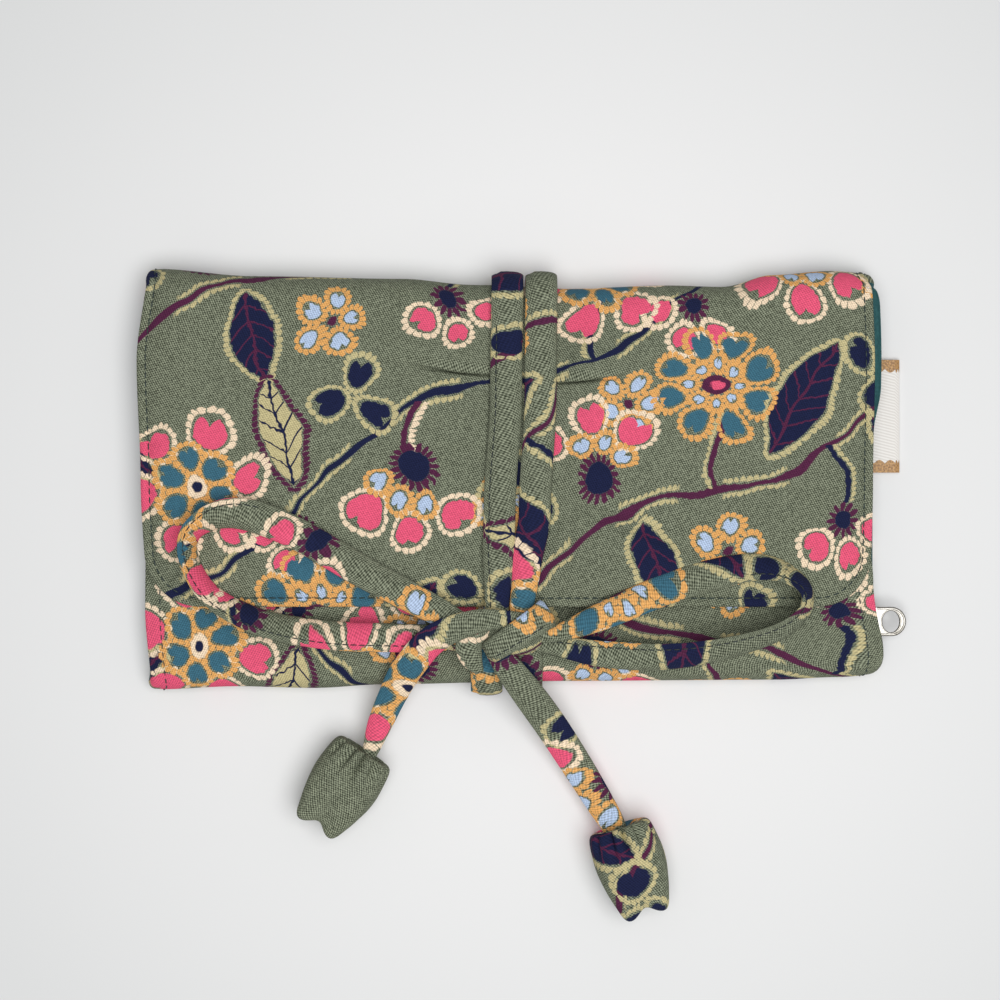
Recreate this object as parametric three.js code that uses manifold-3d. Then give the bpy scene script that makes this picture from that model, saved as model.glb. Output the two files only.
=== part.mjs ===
import * as THREE from 'three';
import Module from 'manifold-3d';
import { mergeVertices } from 'three/addons/utils/BufferGeometryUtils.js';

// Tied cloth jewelry roll, lying closed on its back. Millimetres.
// X runs along the roll, Y from the bow side to the top fold, Z up from the table.

// Overall size of the closed roll
const rollWidth = 221;
const rollHeight = 125;
const flapEdgeY = -38.4;
const flapCorner = 14;
const pocketDepth = 52;

// Cloth layers
const coverThickness = 0.9;
const liningThickness = 0.6;
const backBatting = 2.7;
const flapPuff = 2.6;
const layerGap = 0.3;
const seamRoom = 1.0;
const sideSeam = 8;

// Tie
const strapWidth = 9.6;
const strapThickness = 2.0;
const pressedStrap = 1.6;
const strapLeftX = -4.6;
const strapRightX = 5.8;
const strapDent = 1.2;
const knotY = -47;
const knotZ = 19.4;
const knotHalfLength = 9.6;
const knotHalfDepth = 6.2;
const knotHalfHeight = 4.4;
const knotBandReach = 10.4;
const knotBandRise = 5.9;
const knotBandWidth = 8.4;
const knotStrapLeftX = -3.9;
const knotStrapRightX = 4.1;

// Zip
const zipFromFold = 12.9;
const windowHalf = 4.6;
const tapeHalf = 9;
const toothPitch = 3;
const toothWidth = 1.2;
const chainRoomLeft = 14.5;
const chainRoomRight = 15.5;
const sliderLength = 10.5;
const sliderWidth = 8;
const sliderRoom = 11;
const bailWire = 1.2;
const pullLength = 22.4;
const pullWidth = 8.9;
const pullThickness = 1.0;

// Other pieces
const labelLength = 34.5;
const labelReach = 5.8;
const labelY = 19.3;
const slipPocketLow = -33;
const slipPocketHigh = 36;

// Levels, from the table up
const coverTop = coverThickness;
const channelLift = pressedStrap + layerGap;
const backLiningLow = coverTop + layerGap + backBatting + layerGap;
const backTop = backLiningLow + liningThickness;
const bailDepth = 2.85;
const shieldOut = 1.75;
const shieldIn = 0.95;
const zipZ = backTop + 0.4 + bailDepth + shieldOut;
const pocketLiningLow = zipZ - 1.1;
const pocketLiningTop = pocketLiningLow + liningThickness;
const pocketCoverLow = zipZ + shieldOut + 0.35;
const pocketTop = pocketCoverLow + coverThickness;
const flapLiningLow = pocketTop + 0.4;
const flapLiningTop = flapLiningLow + liningThickness;
const flapEdgeTop = flapLiningTop + layerGap + coverThickness;
const flapTop = flapEdgeTop + flapPuff;

// Fold axes, both along X
const topFoldRadius = flapTop / 2;
const topFoldY = rollHeight / 2 - topFoldRadius;
const bottomFoldRadius = pocketTop / 2;
const bottomFoldY = bottomFoldRadius - rollHeight / 2;
const pocketTipY = bottomFoldY + pocketDepth;

const half = rollWidth / 2;

// Zip, placed from the side seams and from the bottom fold
const zipLineY = bottomFoldY + zipFromFold;
const chainLeft = chainRoomLeft - half;
const chainRight = half - chainRoomRight;
const sliderLeft = half - sliderRoom - sliderLength;
const pivotX = sliderLeft + sliderLength - 2;
const pullTipX = pivotX + pullLength;

// The pull reaches past the right side, so the middle of the box is not the middle of the roll.
const boxShift = (half - pullTipX) / 2;

const materials = {
  print: new THREE.MeshStandardMaterial({ color: 0x6f775c, roughness: 0.92 }),
  lining: new THREE.MeshStandardMaterial({ color: 0x1f4a50, roughness: 0.8 }),
  batting: new THREE.MeshStandardMaterial({ color: 0xe9e5da, roughness: 1.0 }),
  satin: new THREE.MeshStandardMaterial({ color: 0xf1ece2, roughness: 0.5 }),
  tape: new THREE.MeshStandardMaterial({ color: 0x22383a, roughness: 0.85 }),
  nickel: new THREE.MeshStandardMaterial({ color: 0xb9bbbd, roughness: 0.3, metalness: 1.0 }),
};

const roll = new THREE.Group();
roll.name = 'jewelry_roll';

function addPiece(name, geometry, material) {
  geometry.translate(boxShift, 0, 0);
  const mesh = new THREE.Mesh(geometry, materials[material]);
  mesh.name = name;
  roll.add(mesh);
}

// Closed geometry from points and triangles, turned so that its faces look outward
function closedGeometry(points, triangles) {
  let volume = 0;
  for (const [a, b, c] of triangles) {
    volume += points[a].dot(points[b].clone().cross(points[c]));
  }
  const order = volume > 0 ? [0, 1, 2] : [0, 2, 1];
  const geometry = new THREE.BufferGeometry();
  geometry.setAttribute('position', new THREE.Float32BufferAttribute(points.flatMap((p) => p.toArray()), 3));
  geometry.setIndex(triangles.flatMap((t) => order.map((i) => t[i])));
  return geometry;
}

// Sheet between an upper and a lower grid of points, closed along its rim
function sheet(upper, lower) {
  const rows = upper.length;
  const columns = upper[0].length;
  const points = [...upper.flat(), ...lower.flat()];
  const at = (side, i, j) => side * rows * columns + i * columns + j;
  const triangles = [];
  const quad = (a, b, c, d) => triangles.push([a, b, c], [a, c, d]);
  for (let i = 0; i + 1 < rows; i += 1) {
    for (let j = 0; j + 1 < columns; j += 1) {
      quad(at(0, i, j), at(0, i, j + 1), at(0, i + 1, j + 1), at(0, i + 1, j));
      quad(at(1, i, j), at(1, i + 1, j), at(1, i + 1, j + 1), at(1, i, j + 1));
    }
  }
  for (let i = 0; i + 1 < rows; i += 1) {
    quad(at(0, i, 0), at(0, i + 1, 0), at(1, i + 1, 0), at(1, i, 0));
    quad(at(0, i, columns - 1), at(1, i, columns - 1), at(1, i + 1, columns - 1), at(0, i + 1, columns - 1));
  }
  for (let j = 0; j + 1 < columns; j += 1) {
    quad(at(0, 0, j), at(1, 0, j), at(1, 0, j + 1), at(0, 0, j + 1));
    quad(at(0, rows - 1, j), at(0, rows - 1, j + 1), at(1, rows - 1, j + 1), at(1, rows - 1, j));
  }
  return closedGeometry(points, triangles);
}

// Body lofted through rings of equal count, each end closed to a middle point
function loft(rings, endPoints) {
  const count = rings[0].length;
  const points = [...rings.flat(), ...endPoints];
  const triangles = [];
  for (let i = 0; i + 1 < rings.length; i += 1) {
    for (let j = 0; j < count; j += 1) {
      const next = (j + 1) % count;
      triangles.push([i * count + j, i * count + next, (i + 1) * count + next]);
      triangles.push([i * count + j, (i + 1) * count + next, (i + 1) * count + j]);
    }
  }
  const last = (rings.length - 1) * count;
  const startPoint = rings.length * count;
  for (let j = 0; j < count; j += 1) {
    const next = (j + 1) % count;
    triangles.push([startPoint, next, j], [startPoint + 1, last + j, last + next]);
  }
  return closedGeometry(points, triangles);
}

function box(x0, x1, y0, y1, z0, z1) {
  const geometry = new THREE.BoxGeometry(x1 - x0, y1 - y0, z1 - z0);
  geometry.translate((x0 + x1) / 2, (y0 + y1) / 2, (z0 + z1) / 2);
  return geometry;
}

// Rises from 0 at a seam to 1 at the given distance from it
function rise(distance, reach) {
  const t = Math.min(Math.max(distance / reach, 0), 1);
  return Math.sin((t * Math.PI) / 2);
}

// 1 under the pair of straps, 0 beyond the given slope on each side of them
function underStraps(x, slope) {
  const low = strapLeftX - strapWidth / 2 - 0.4;
  const high = strapRightX + strapWidth / 2 + 0.4;
  const outside = Math.max(low - x, x - high, 0);
  return Math.max(0, 1 - outside / slope);
}

// Column positions across a panel: close at the side seams and at the strap channel
function columnsAcross(halfWidth, slope) {
  const low = strapLeftX - strapWidth / 2 - 0.4;
  const high = strapRightX + strapWidth / 2 + 0.4;
  const left = [0, 2.5, 5, sideSeam, 24].map((d) => d - halfWidth);
  const right = left.map((x) => -x).reverse();
  const leftFill = [-62, -38];
  const rightFill = [38, 62];
  return [...left, ...leftFill, low - slope, low, high, high + slope, ...rightFill, ...right];
}

function rowsBetween(start, end, count) {
  return Array.from({ length: count + 1 }, (unused, i) => start + ((end - start) * i) / count);
}

// Half width left at a distance from the free edge of a panel with round corners
function cornerHalf(distance, corner, halfWidth) {
  const short = corner - Math.min(distance, corner);
  return halfWidth - corner + Math.sqrt(corner * corner - short * short);
}

// Draws the outer columns in where a round corner narrows a row
function narrowed(x, rowHalf, halfWidth) {
  const steady = 60;
  if (Math.abs(x) <= steady) return x;
  const share = (Math.abs(x) - steady) / (halfWidth - steady);
  return Math.sign(x) * (steady + share * (rowHalf - steady));
}

// Panel with given rows and columns, its upper and lower faces given as heights
function panel(rows, columns, rowHalf, upperZ, lowerZ) {
  const halfWidth = columns[columns.length - 1];
  const grid = (height) => rows.map((y) => columns.map((column) => {
    const x = narrowed(column, rowHalf(y), halfWidth);
    return new THREE.Vector3(x, y, height(x, y));
  }));
  return sheet(grid(upperZ), grid(lowerZ));
}

// Heights of the cloth faces
const sideRise = (x) => rise(half - Math.abs(x), sideSeam);
const backLift = (x) => channelLift * underStraps(x, 3);
const backLiningBottom = (x) => coverTop + seamRoom + (backLiningLow - coverTop - seamRoom) * sideRise(x);
const pocketEdgeLow = pocketLiningTop + layerGap;
const pocketCoverBottom = (x, y) => {
  const edge = sideRise(x) * rise(pocketTipY - y, 6);
  return pocketEdgeLow + (pocketCoverLow - pocketEdgeLow) * edge;
};
const flapCoverTop = (x, y) => {
  const edge = rise(half - Math.abs(x), 10) * rise(y - flapEdgeY, 10);
  return flapEdgeTop + edge * (flapPuff - strapDent * underStraps(x, 14));
};

const flapRowHalf = (y) => cornerHalf(y - flapEdgeY, flapCorner, half);
const flapCornerRows = [0, 1.1, 4.1, 8.6, 14].map((d) => flapEdgeY + (d * flapCorner) / 14);
const flapRows = [...flapCornerRows, ...rowsBetween(flapEdgeY + 26, topFoldY, 4)];
const straightHalf = () => half;

function addBack() {
  const columns = columnsAcross(half, 3);
  const rows = rowsBetween(bottomFoldY, topFoldY, 2);
  const coverUpper = (x) => backLift(x) + coverThickness;
  addPiece('back_cover', panel(rows, columns, straightHalf, coverUpper, backLift), 'print');

  const inner = columnsAcross(half - 9, 3);
  const innerHalf = () => half - 9;
  const battingRows = [bottomFoldY + 2, topFoldY - 2];
  const battingLower = (x) => coverUpper(x) + layerGap;
  const battingUpper = () => backLiningLow - layerGap;
  addPiece('back_batting', panel(battingRows, inner, innerHalf, battingUpper, battingLower), 'batting');

  const liningUpper = (x) => backLiningBottom(x) + liningThickness;
  addPiece('back_lining', panel(rows, columns, straightHalf, liningUpper, backLiningBottom), 'lining');

  const pocketLow = backTop + layerGap;
  const pocketHigh = pocketLow + liningThickness;
  const pocketHalf = half - sideSeam - 1;
  const slip = box(-pocketHalf, pocketHalf, slipPocketLow, slipPocketHigh, pocketLow, pocketHigh);
  addPiece('slip_pocket', slip, 'lining');

  const labelLow = coverTop + 0.25;
  const labelInner = half - 3.5;
  const label = box(labelInner, half + labelReach, labelY - labelLength / 2, labelY + labelLength / 2, labelLow,
    labelLow + 0.5);
  addPiece('side_label', label, 'satin');
}

function addFlap() {
  const columns = columnsAcross(half, 14);
  const coverLower = (x, y) => flapCoverTop(x, y) - coverThickness;
  addPiece('flap_cover', panel(flapRows, columns, flapRowHalf, flapCoverTop, coverLower), 'print');

  const inner = columnsAcross(half - 9, 14);
  const innerHalf = () => half - 9;
  const battingRows = rowsBetween(flapEdgeY + 9, topFoldY - 2, 3);
  const battingUpper = (x, y) => coverLower(x, y) - layerGap;
  const battingLower = () => flapLiningTop + layerGap;
  addPiece('flap_batting', panel(battingRows, inner, innerHalf, battingUpper, battingLower), 'batting');

  const plain = [-half, -60, 60, half];
  const liningRows = [...flapCornerRows, topFoldY];
  const lining = panel(liningRows, plain, flapRowHalf, () => flapLiningTop, () => flapLiningLow);
  addPiece('flap_lining', lining, 'lining');
}

function addPocketPanel() {
  const columns = columnsAcross(half, 14);
  const rows = [...rowsBetween(bottomFoldY, pocketTipY - 6, 2), pocketTipY - 3.5, pocketTipY - 1.5, pocketTipY];
  const coverUpper = (x, y) => pocketCoverBottom(x, y) + coverThickness;
  addPiece('pocket_cover', panel(rows, columns, straightHalf, coverUpper, pocketCoverBottom), 'print');

  const battingHalf = half - 10;
  const batting = box(-battingHalf, battingHalf, zipLineY + tapeHalf + 1, pocketTipY - 7, zipZ + 0.6,
    pocketCoverLow - layerGap);
  addPiece('pocket_batting', batting, 'batting');

  const foldStrip = box(-half, half, bottomFoldY, zipLineY - windowHalf, pocketLiningLow, pocketLiningTop);
  addPiece('pocket_lining_fold_strip', foldStrip, 'lining');
  const face = box(-half, half, zipLineY + windowHalf, pocketTipY, pocketLiningLow, pocketLiningTop);
  addPiece('pocket_lining_face', face, 'lining');
}

// Half-round cloth strip about a fold, between a lower and an upper panel
function foldStrip(foldY, outward, columns, reach, lowZ, highZ, thickness) {
  const steps = 10;
  const ring = (inset) => columns.map((x) => rowsBetween(-Math.PI / 2, Math.PI / 2, steps).map((angle) => {
    const middle = (lowZ(x) + highZ(x)) / 2;
    const rise = (highZ(x) - lowZ(x)) / 2 - inset;
    const out = reach(x) - inset;
    return new THREE.Vector3(x, foldY + outward * out * Math.cos(angle), middle + rise * Math.sin(angle));
  }));
  return sheet(ring(0), ring(thickness));
}

function addFolds() {
  const columns = columnsAcross(half, 14);
  const roundEnd = (x) => 0.82 + 0.18 * sideRise(x);
  const liningInset = (x) => coverThickness + layerGap + 1.6 * sideRise(x);
  const liningColumns = [0, 2.5, 5, sideSeam].map((d) => d - half);
  liningColumns.push(...liningColumns.map((x) => -x).reverse());

  const topReach = (x) => topFoldRadius * roundEnd(x);
  const topHigh = (x) => flapCoverTop(x, topFoldY);
  const topCover = foldStrip(topFoldY, 1, columns, topReach, backLift, topHigh, coverThickness);
  addPiece('top_fold_cover', topCover, 'print');
  const topLiningReach = (x) => topReach(x) - liningInset(x);
  const topLining = foldStrip(topFoldY, 1, liningColumns, topLiningReach, backLiningBottom,
    () => flapLiningTop, liningThickness);
  addPiece('top_fold_lining', topLining, 'lining');

  const bottomReach = (x) => bottomFoldRadius * roundEnd(x);
  const bottomHigh = (x) => pocketCoverBottom(x, bottomFoldY) + coverThickness;
  const bottomCover = foldStrip(bottomFoldY, -1, columns, bottomReach, backLift, bottomHigh, coverThickness);
  addPiece('bottom_fold_cover', bottomCover, 'print');
  const bottomLiningReach = (x) => bottomReach(x) - liningInset(x) * 0.9;
  const bottomLining = foldStrip(bottomFoldY, -1, liningColumns, bottomLiningReach, backLiningBottom,
    () => pocketLiningTop, liningThickness);
  addPiece('bottom_fold_lining', bottomLining, 'lining');
}

// Flat sewn strap along stations of { point, side, width, thickness }
function strap(stations) {
  const rings = stations.map((station, i) => {
    const before = stations[Math.max(i - 1, 0)].point;
    const after = stations[Math.min(i + 1, stations.length - 1)].point;
    const along = after.clone().sub(before).normalize();
    const side = station.side.clone().addScaledVector(along, -station.side.dot(along)).normalize();
    const up = along.clone().cross(side);
    const w = station.width / 2;
    const t = station.thickness / 2;
    const section = [[w, t * 0.35], [w - t * 0.8, t], [t * 0.8 - w, t], [-w, t * 0.35],
      [-w, -t * 0.35], [t * 0.8 - w, -t], [w - t * 0.8, -t], [w, -t * 0.35]];
    return section.map(([a, b]) => station.point.clone().addScaledVector(side, a).addScaledVector(up, b));
  });
  return loft(rings, [stations[0].point, stations[stations.length - 1].point]);
}

// The two wraps run from under the knot round the bottom fold, beneath the back and over the top fold.
function addWrap(name, x) {
  const side = new THREE.Vector3(1, 0, 0);
  const station = (y, z, thickness) => (
    { point: new THREE.Vector3(x, y, z), side, width: strapWidth, thickness });
  const out = layerGap + strapThickness / 2;
  const arc = (foldY, outward, radius, lowZ, highZ) => rowsBetween(-Math.PI / 2, Math.PI / 2, 10).map((angle) => {
    const middle = (lowZ + highZ) / 2;
    const blend = (angle + Math.PI / 2) / Math.PI;
    const thickness = pressedStrap + (strapThickness - pressedStrap) * Math.min(1, blend * 3);
    return station(foldY + outward * (radius + out) * Math.cos(angle),
      middle + ((highZ - lowZ) / 2) * Math.sin(angle), thickness);
  });
  const flat = pressedStrap / 2;
  const stubTop = pocketTop + out;
  const flapStrap = flapCoverTop(x, topFoldY) + out;
  const bottom = arc(bottomFoldY, -1, bottomFoldRadius, flat, stubTop).reverse();
  const top = arc(topFoldY, 1, topFoldRadius, flat, flapStrap);
  const stub = station(knotY - 1, stubTop, strapThickness);
  addPiece(name, strap([stub, ...bottom, ...top]), 'print');
}

// Strap on the front of the flap, from the top fold down to the knot
function addFrontStrap(name, x, knotX) {
  const out = layerGap + strapThickness / 2;
  const reach = topFoldY - layerGap;
  const end = knotY + 7.2;
  const stations = [0, 0.12, 0.3, 0.5, 0.68, 0.8, 0.88, 0.94, 1].map((t) => {
    const y = reach + (end - reach) * t;
    const drift = x + (knotX - x) * rise(t - 0.55, 0.45) ** 2;
    const lift = 1.6 * rise(t - 0.78, 0.22);
    const surface = Math.max(flapCoverTop(drift, Math.max(y, flapEdgeY + 10)), flapEdgeTop);
    return {
      point: new THREE.Vector3(drift, y, surface + out + lift),
      side: new THREE.Vector3(1, 0, 0),
      width: strapWidth - 2.4 * rise(t - 0.7, 0.3),
      thickness: strapThickness,
    };
  });
  addPiece(name, strap(stations), 'print');
}

// Stations along a smooth curve through rows of [x, y, z, tilt in degrees, width].
// Tilt lifts the left edge of the strap, seen along its run.
function ribbonStations(rows, count) {
  const path = new THREE.CatmullRomCurve3(rows.map((r) => new THREE.Vector3(r[0], r[1], r[2])));
  const values = new THREE.SplineCurve(rows.map((r) => new THREE.Vector2(r[3], r[4])));
  return rowsBetween(0, 1, count).map((t) => {
    const along = path.getTangent(t);
    const left = new THREE.Vector3(-along.y, along.x, 0).normalize();
    const value = values.getPoint(t);
    const tilt = THREE.MathUtils.degToRad(value.x);
    const side = left.multiplyScalar(Math.cos(tilt)).add(new THREE.Vector3(0, 0, Math.sin(tilt)));
    return { point: path.getPoint(t), side, width: value.y, thickness: strapThickness };
  });
}

function addBow() {
  const leftLoop = [
    [-11.5, -44.6, 20.6, 0, 7.0], [-24, -38.5, 21.2, 8, 8.6], [-44, -28, 20.4, 12, 9.6],
    [-66, -15.5, 20.2, 8, 9.6], [-83, -10.2, 20.6, -18, 9.6], [-94.5, -14.5, 22.0, -52, 9.6],
    [-96.5, -23, 22.4, -60, 9.6], [-90, -34.5, 22.0, -52, 9.6], [-76, -42.4, 20.8, -40, 9.6],
    [-58, -46.4, 18.9, -30, 9.6], [-36, -47.6, 17.6, -15, 8.8], [-11.5, -47.6, 17.4, 0, 7.0],
  ];
  addPiece('bow_loop_left', strap(ribbonStations(leftLoop, 34)), 'print');

  const rightLoop = [
    [12.6, -46.6, 20.6, 0, 7.0], [26, -41.4, 21.2, -10, 8.6], [46, -33, 20.6, -16, 9.6],
    [64, -27.6, 20.6, -24, 9.6], [77, -26.6, 21.6, -42, 9.6], [86.5, -31.5, 22.4, -62, 9.6],
    [87.5, -38.5, 22.4, -64, 9.6], [80, -45.4, 21.4, -56, 9.6], [64, -50.6, 19.8, -46, 9.6],
    [46, -53.2, 18.6, -34, 9.6], [28, -52.6, 17.6, -16, 8.8], [11.5, -49.6, 17.4, 0, 7.0],
  ];
  addPiece('bow_loop_right', strap(ribbonStations(rightLoop, 34)), 'print');

  const leftTail = [
    [-5.5, -41.2, 25.6, 0, 7.0], [-13, -43.0, 25.0, 0, 8.6], [-23, -48.4, 22.6, -6, 9.6],
    [-31, -56.6, 18.2, -10, 9.6], [-36, -65.6, 12.6, -10, 8.6], [-40, -74.6, 8.8, -4, 7.4],
    [-42.8, -82.4, 8.2, 0, 6.2],
  ];
  addPiece('tie_tail_left', strap(ribbonStations(leftTail, 20)), 'print');

  const rightTail = [
    [2.6, -53.7, 19.8, 0, 7.0], [6.4, -62.4, 18.4, 4, 8.8], [13, -73.4, 11.2, 4, 9.6],
    [21, -88, 6.2, 4, 9.6], [27, -98.4, 6.4, 4, 9.2], [30.6, -104.4, 7.8, 4, 8.0],
  ];
  addPiece('tie_tail_right', strap(ribbonStations(rightTail, 20)), 'print');

  addKnot();
  addTulip('tulip_left', [-43.2, -83.2], [-57, -104.6], 20.4);
  addTulip('tulip_right', [31.8, -105.4], [40.4, -133], 22.4);
}

// Packed core of the knot, and the strap that arches over it
function addKnot() {
  const core = new THREE.SphereGeometry(1, 16, 10);
  core.deleteAttribute('normal');
  core.deleteAttribute('uv');
  core.scale(knotHalfLength, knotHalfDepth, knotHalfHeight);
  core.translate(0.4, knotY, knotZ);
  addPiece('knot_core', mergeVertices(core, 1e-4), 'print');

  const heading = THREE.MathUtils.degToRad(36);
  const ahead = new THREE.Vector3(Math.cos(heading), Math.sin(heading), 0);
  const side = new THREE.Vector3(-Math.sin(heading), Math.cos(heading), 0);
  const middle = new THREE.Vector3(0.4, knotY, knotZ);
  const stations = rowsBetween(0.08, 0.92, 14).map((t) => {
    const angle = Math.PI * (1 - t);
    const point = middle.clone().addScaledVector(ahead, knotBandReach * Math.cos(angle));
    point.z += knotBandRise * Math.sin(angle);
    return { point, side, width: knotBandWidth, thickness: strapThickness };
  });
  addPiece('knot_band', strap(stations), 'print');
}

// Stuffed cloth bud on the end of a tail: gathered at its neck, pinched to four points at its mouth
function addTulip(name, neck, mouth, width) {
  const start = new THREE.Vector3(neck[0], neck[1], 0);
  const run = new THREE.Vector3(mouth[0], mouth[1], 0).sub(start);
  const length = run.length();
  const along = run.clone().normalize();
  const side = new THREE.Vector3(-along.y, along.x, 0);
  const depth = width * 0.76;
  const middleZ = depth * 0.51 + 0.3;
  const fullness = [[0, 0.3], [0.05, 0.56], [0.14, 0.82], [0.3, 0.97], [0.5, 1], [0.7, 0.96], [0.85, 0.9], [1, 0.8]];
  const segments = 20;
  const rings = fullness.map(([t, full]) => rowsBetween(0, 2 * Math.PI, segments).slice(0, segments).map((angle) => {
    const lobe = Math.cos(4 * angle) * rise(t - 0.45, 0.55);
    const reach = full * (1 + 0.1 * lobe);
    const point = start.clone().addScaledVector(along, length * t * (1 + 0.06 * lobe));
    point.addScaledVector(side, (width / 2) * reach * Math.cos(angle));
    point.z = middleZ + (depth / 2) * reach * Math.sin(angle);
    return point;
  }));
  const neckPoint = start.clone();
  neckPoint.z = middleZ;
  const mouthPoint = start.clone().addScaledVector(along, length * 0.84);
  mouthPoint.z = middleZ;
  addPiece(name, loft(rings, [neckPoint, mouthPoint]), 'print');
}

// One row of zip teeth: a root band with teeth that reach past the middle line
function toothRow(direction, shift) {
  const shape = new THREE.Shape();
  const root = 2.0;
  const valley = 0.9;
  const tip = -0.6;
  shape.moveTo(chainLeft, direction * root);
  shape.lineTo(chainLeft, direction * valley);
  const count = Math.floor((chainRight - chainLeft - shift - toothWidth) / toothPitch);
  for (let i = 0; i < count; i += 1) {
    const x = chainLeft + shift + i * toothPitch;
    shape.lineTo(x, direction * valley);
    shape.lineTo(x + 0.15, direction * tip);
    shape.lineTo(x + toothWidth - 0.15, direction * tip);
    shape.lineTo(x + toothWidth, direction * valley);
  }
  shape.lineTo(chainRight, direction * valley);
  shape.lineTo(chainRight, direction * root);
  const teeth = new THREE.ExtrudeGeometry(shape, { depth: 1.3, bevelEnabled: false });
  teeth.translate(0, zipLineY, zipZ - 0.65);
  return teeth;
}

function addZip() {
  const tapeEnd = half - 7;
  const tape = (low, high) => box(-tapeEnd, tapeEnd, zipLineY + low, zipLineY + high, zipZ - 0.2, zipZ + 0.2);
  addPiece('zip_tape_upper', tape(2.3, tapeHalf), 'tape');
  addPiece('zip_tape_lower', tape(-tapeHalf, -2.3), 'tape');
  addPiece('zip_teeth_upper', toothRow(1, 0.15), 'nickel');
  addPiece('zip_teeth_lower', toothRow(-1, 0.15 + toothPitch / 2), 'nickel');

  const stop = (x0, x1) => box(x0, x1, zipLineY - 2, zipLineY + 2, zipZ - 0.65, zipZ + 0.65);
  const sliderRight = sliderLeft + sliderLength;
  addPiece('zip_top_stop', stop(sliderRight + 0.4, sliderRight + 2.4), 'nickel');
  addPiece('zip_bottom_stop', stop(chainLeft - 2.5, chainLeft - 0.4), 'nickel');
}

const wasm = await Module();
wasm.setup();

function toManifold(geometry) {
  const plain = new THREE.BufferGeometry();
  plain.setAttribute('position', geometry.getAttribute('position'));
  if (geometry.index) plain.setIndex(geometry.index);
  const merged = mergeVertices(plain, 1e-4);
  return new wasm.Manifold(new wasm.Mesh({
    numProp: 3,
    vertProperties: new Float32Array(merged.getAttribute('position').array),
    triVerts: new Uint32Array(merged.index.array),
  }));
}

function fromManifold(solid) {
  const mesh = solid.getMesh();
  const geometry = new THREE.BufferGeometry();
  geometry.setAttribute('position', new THREE.BufferAttribute(mesh.vertProperties, 3));
  geometry.setIndex(new THREE.BufferAttribute(mesh.triVerts, 1));
  return geometry;
}

// Two rimmed shields joined by the wedge that parts the teeth, cut to the slider's tapered outline
function addSlider() {
  const w = sliderWidth / 2;
  const rim = w - 1;
  const left = sliderLeft;
  const right = sliderLeft + sliderLength;
  const plate = (sign) => {
    const low = Math.min(sign * shieldIn, sign * shieldOut);
    const high = Math.max(sign * shieldIn, sign * shieldOut);
    const rimIn = Math.min(sign * 0.5, sign * shieldOut);
    const rimOut = Math.max(sign * 0.5, sign * shieldOut);
    const flat = toManifold(box(left, right, -w, w, low, high));
    const upperRim = toManifold(box(left, right, rim, w, rimIn, rimOut));
    const lowerRim = toManifold(box(left, right, -w, -rim, rimIn, rimOut));
    return flat.add(upperRim).add(lowerRim);
  };
  const wedge = toManifold(box(right - 3.2, right - 0.8, -0.8, 0.8, -1.3, 1.3));
  const outline = new THREE.Shape();
  outline.moveTo(left, -2.9);
  outline.lineTo(left + 5, -w);
  outline.lineTo(right - 1.2, -w);
  outline.quadraticCurveTo(right, -w, right, 1.2 - w);
  outline.lineTo(right, w - 1.2);
  outline.quadraticCurveTo(right, w, right - 1.2, w);
  outline.lineTo(left + 5, w);
  outline.lineTo(left, 2.9);
  outline.closePath();
  const cutter = new THREE.ExtrudeGeometry(outline, { depth: 8, bevelEnabled: false, curveSegments: 4 });
  cutter.translate(0, 0, -4);
  const solid = plate(-1).add(plate(1)).add(wedge).intersect(toManifold(cutter));
  const slider = fromManifold(solid);
  slider.translate(0, zipLineY, zipZ);
  addPiece('slider_body', slider, 'nickel');
}

// Loop on the outer shield that holds the pull
function addBail() {
  const outline = new THREE.Shape();
  const reach = shieldOut + bailDepth;
  const back = pivotX - 6;
  const front = pivotX + bailWire / 2;
  outline.moveTo(back, -shieldOut);
  outline.lineTo(back, -reach + 0.5);
  outline.lineTo(back + 0.5, -reach);
  outline.lineTo(front - 0.5, -reach);
  outline.lineTo(front, -reach + 0.5);
  outline.lineTo(front, -shieldOut);
  const gap = new THREE.Path();
  gap.moveTo(back + bailWire, -shieldOut - 0.25);
  gap.lineTo(front - bailWire, -shieldOut - 0.25);
  gap.lineTo(front - bailWire, -reach + 0.8);
  gap.lineTo(back + bailWire, -reach + 0.8);
  outline.holes.push(gap);
  const bail = new THREE.ExtrudeGeometry(outline, { depth: bailWire, bevelEnabled: false });
  bail.rotateX(Math.PI / 2);
  bail.translate(0, zipLineY + bailWire / 2, zipZ);
  addPiece('slider_bail', bail, 'nickel');
}

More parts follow.
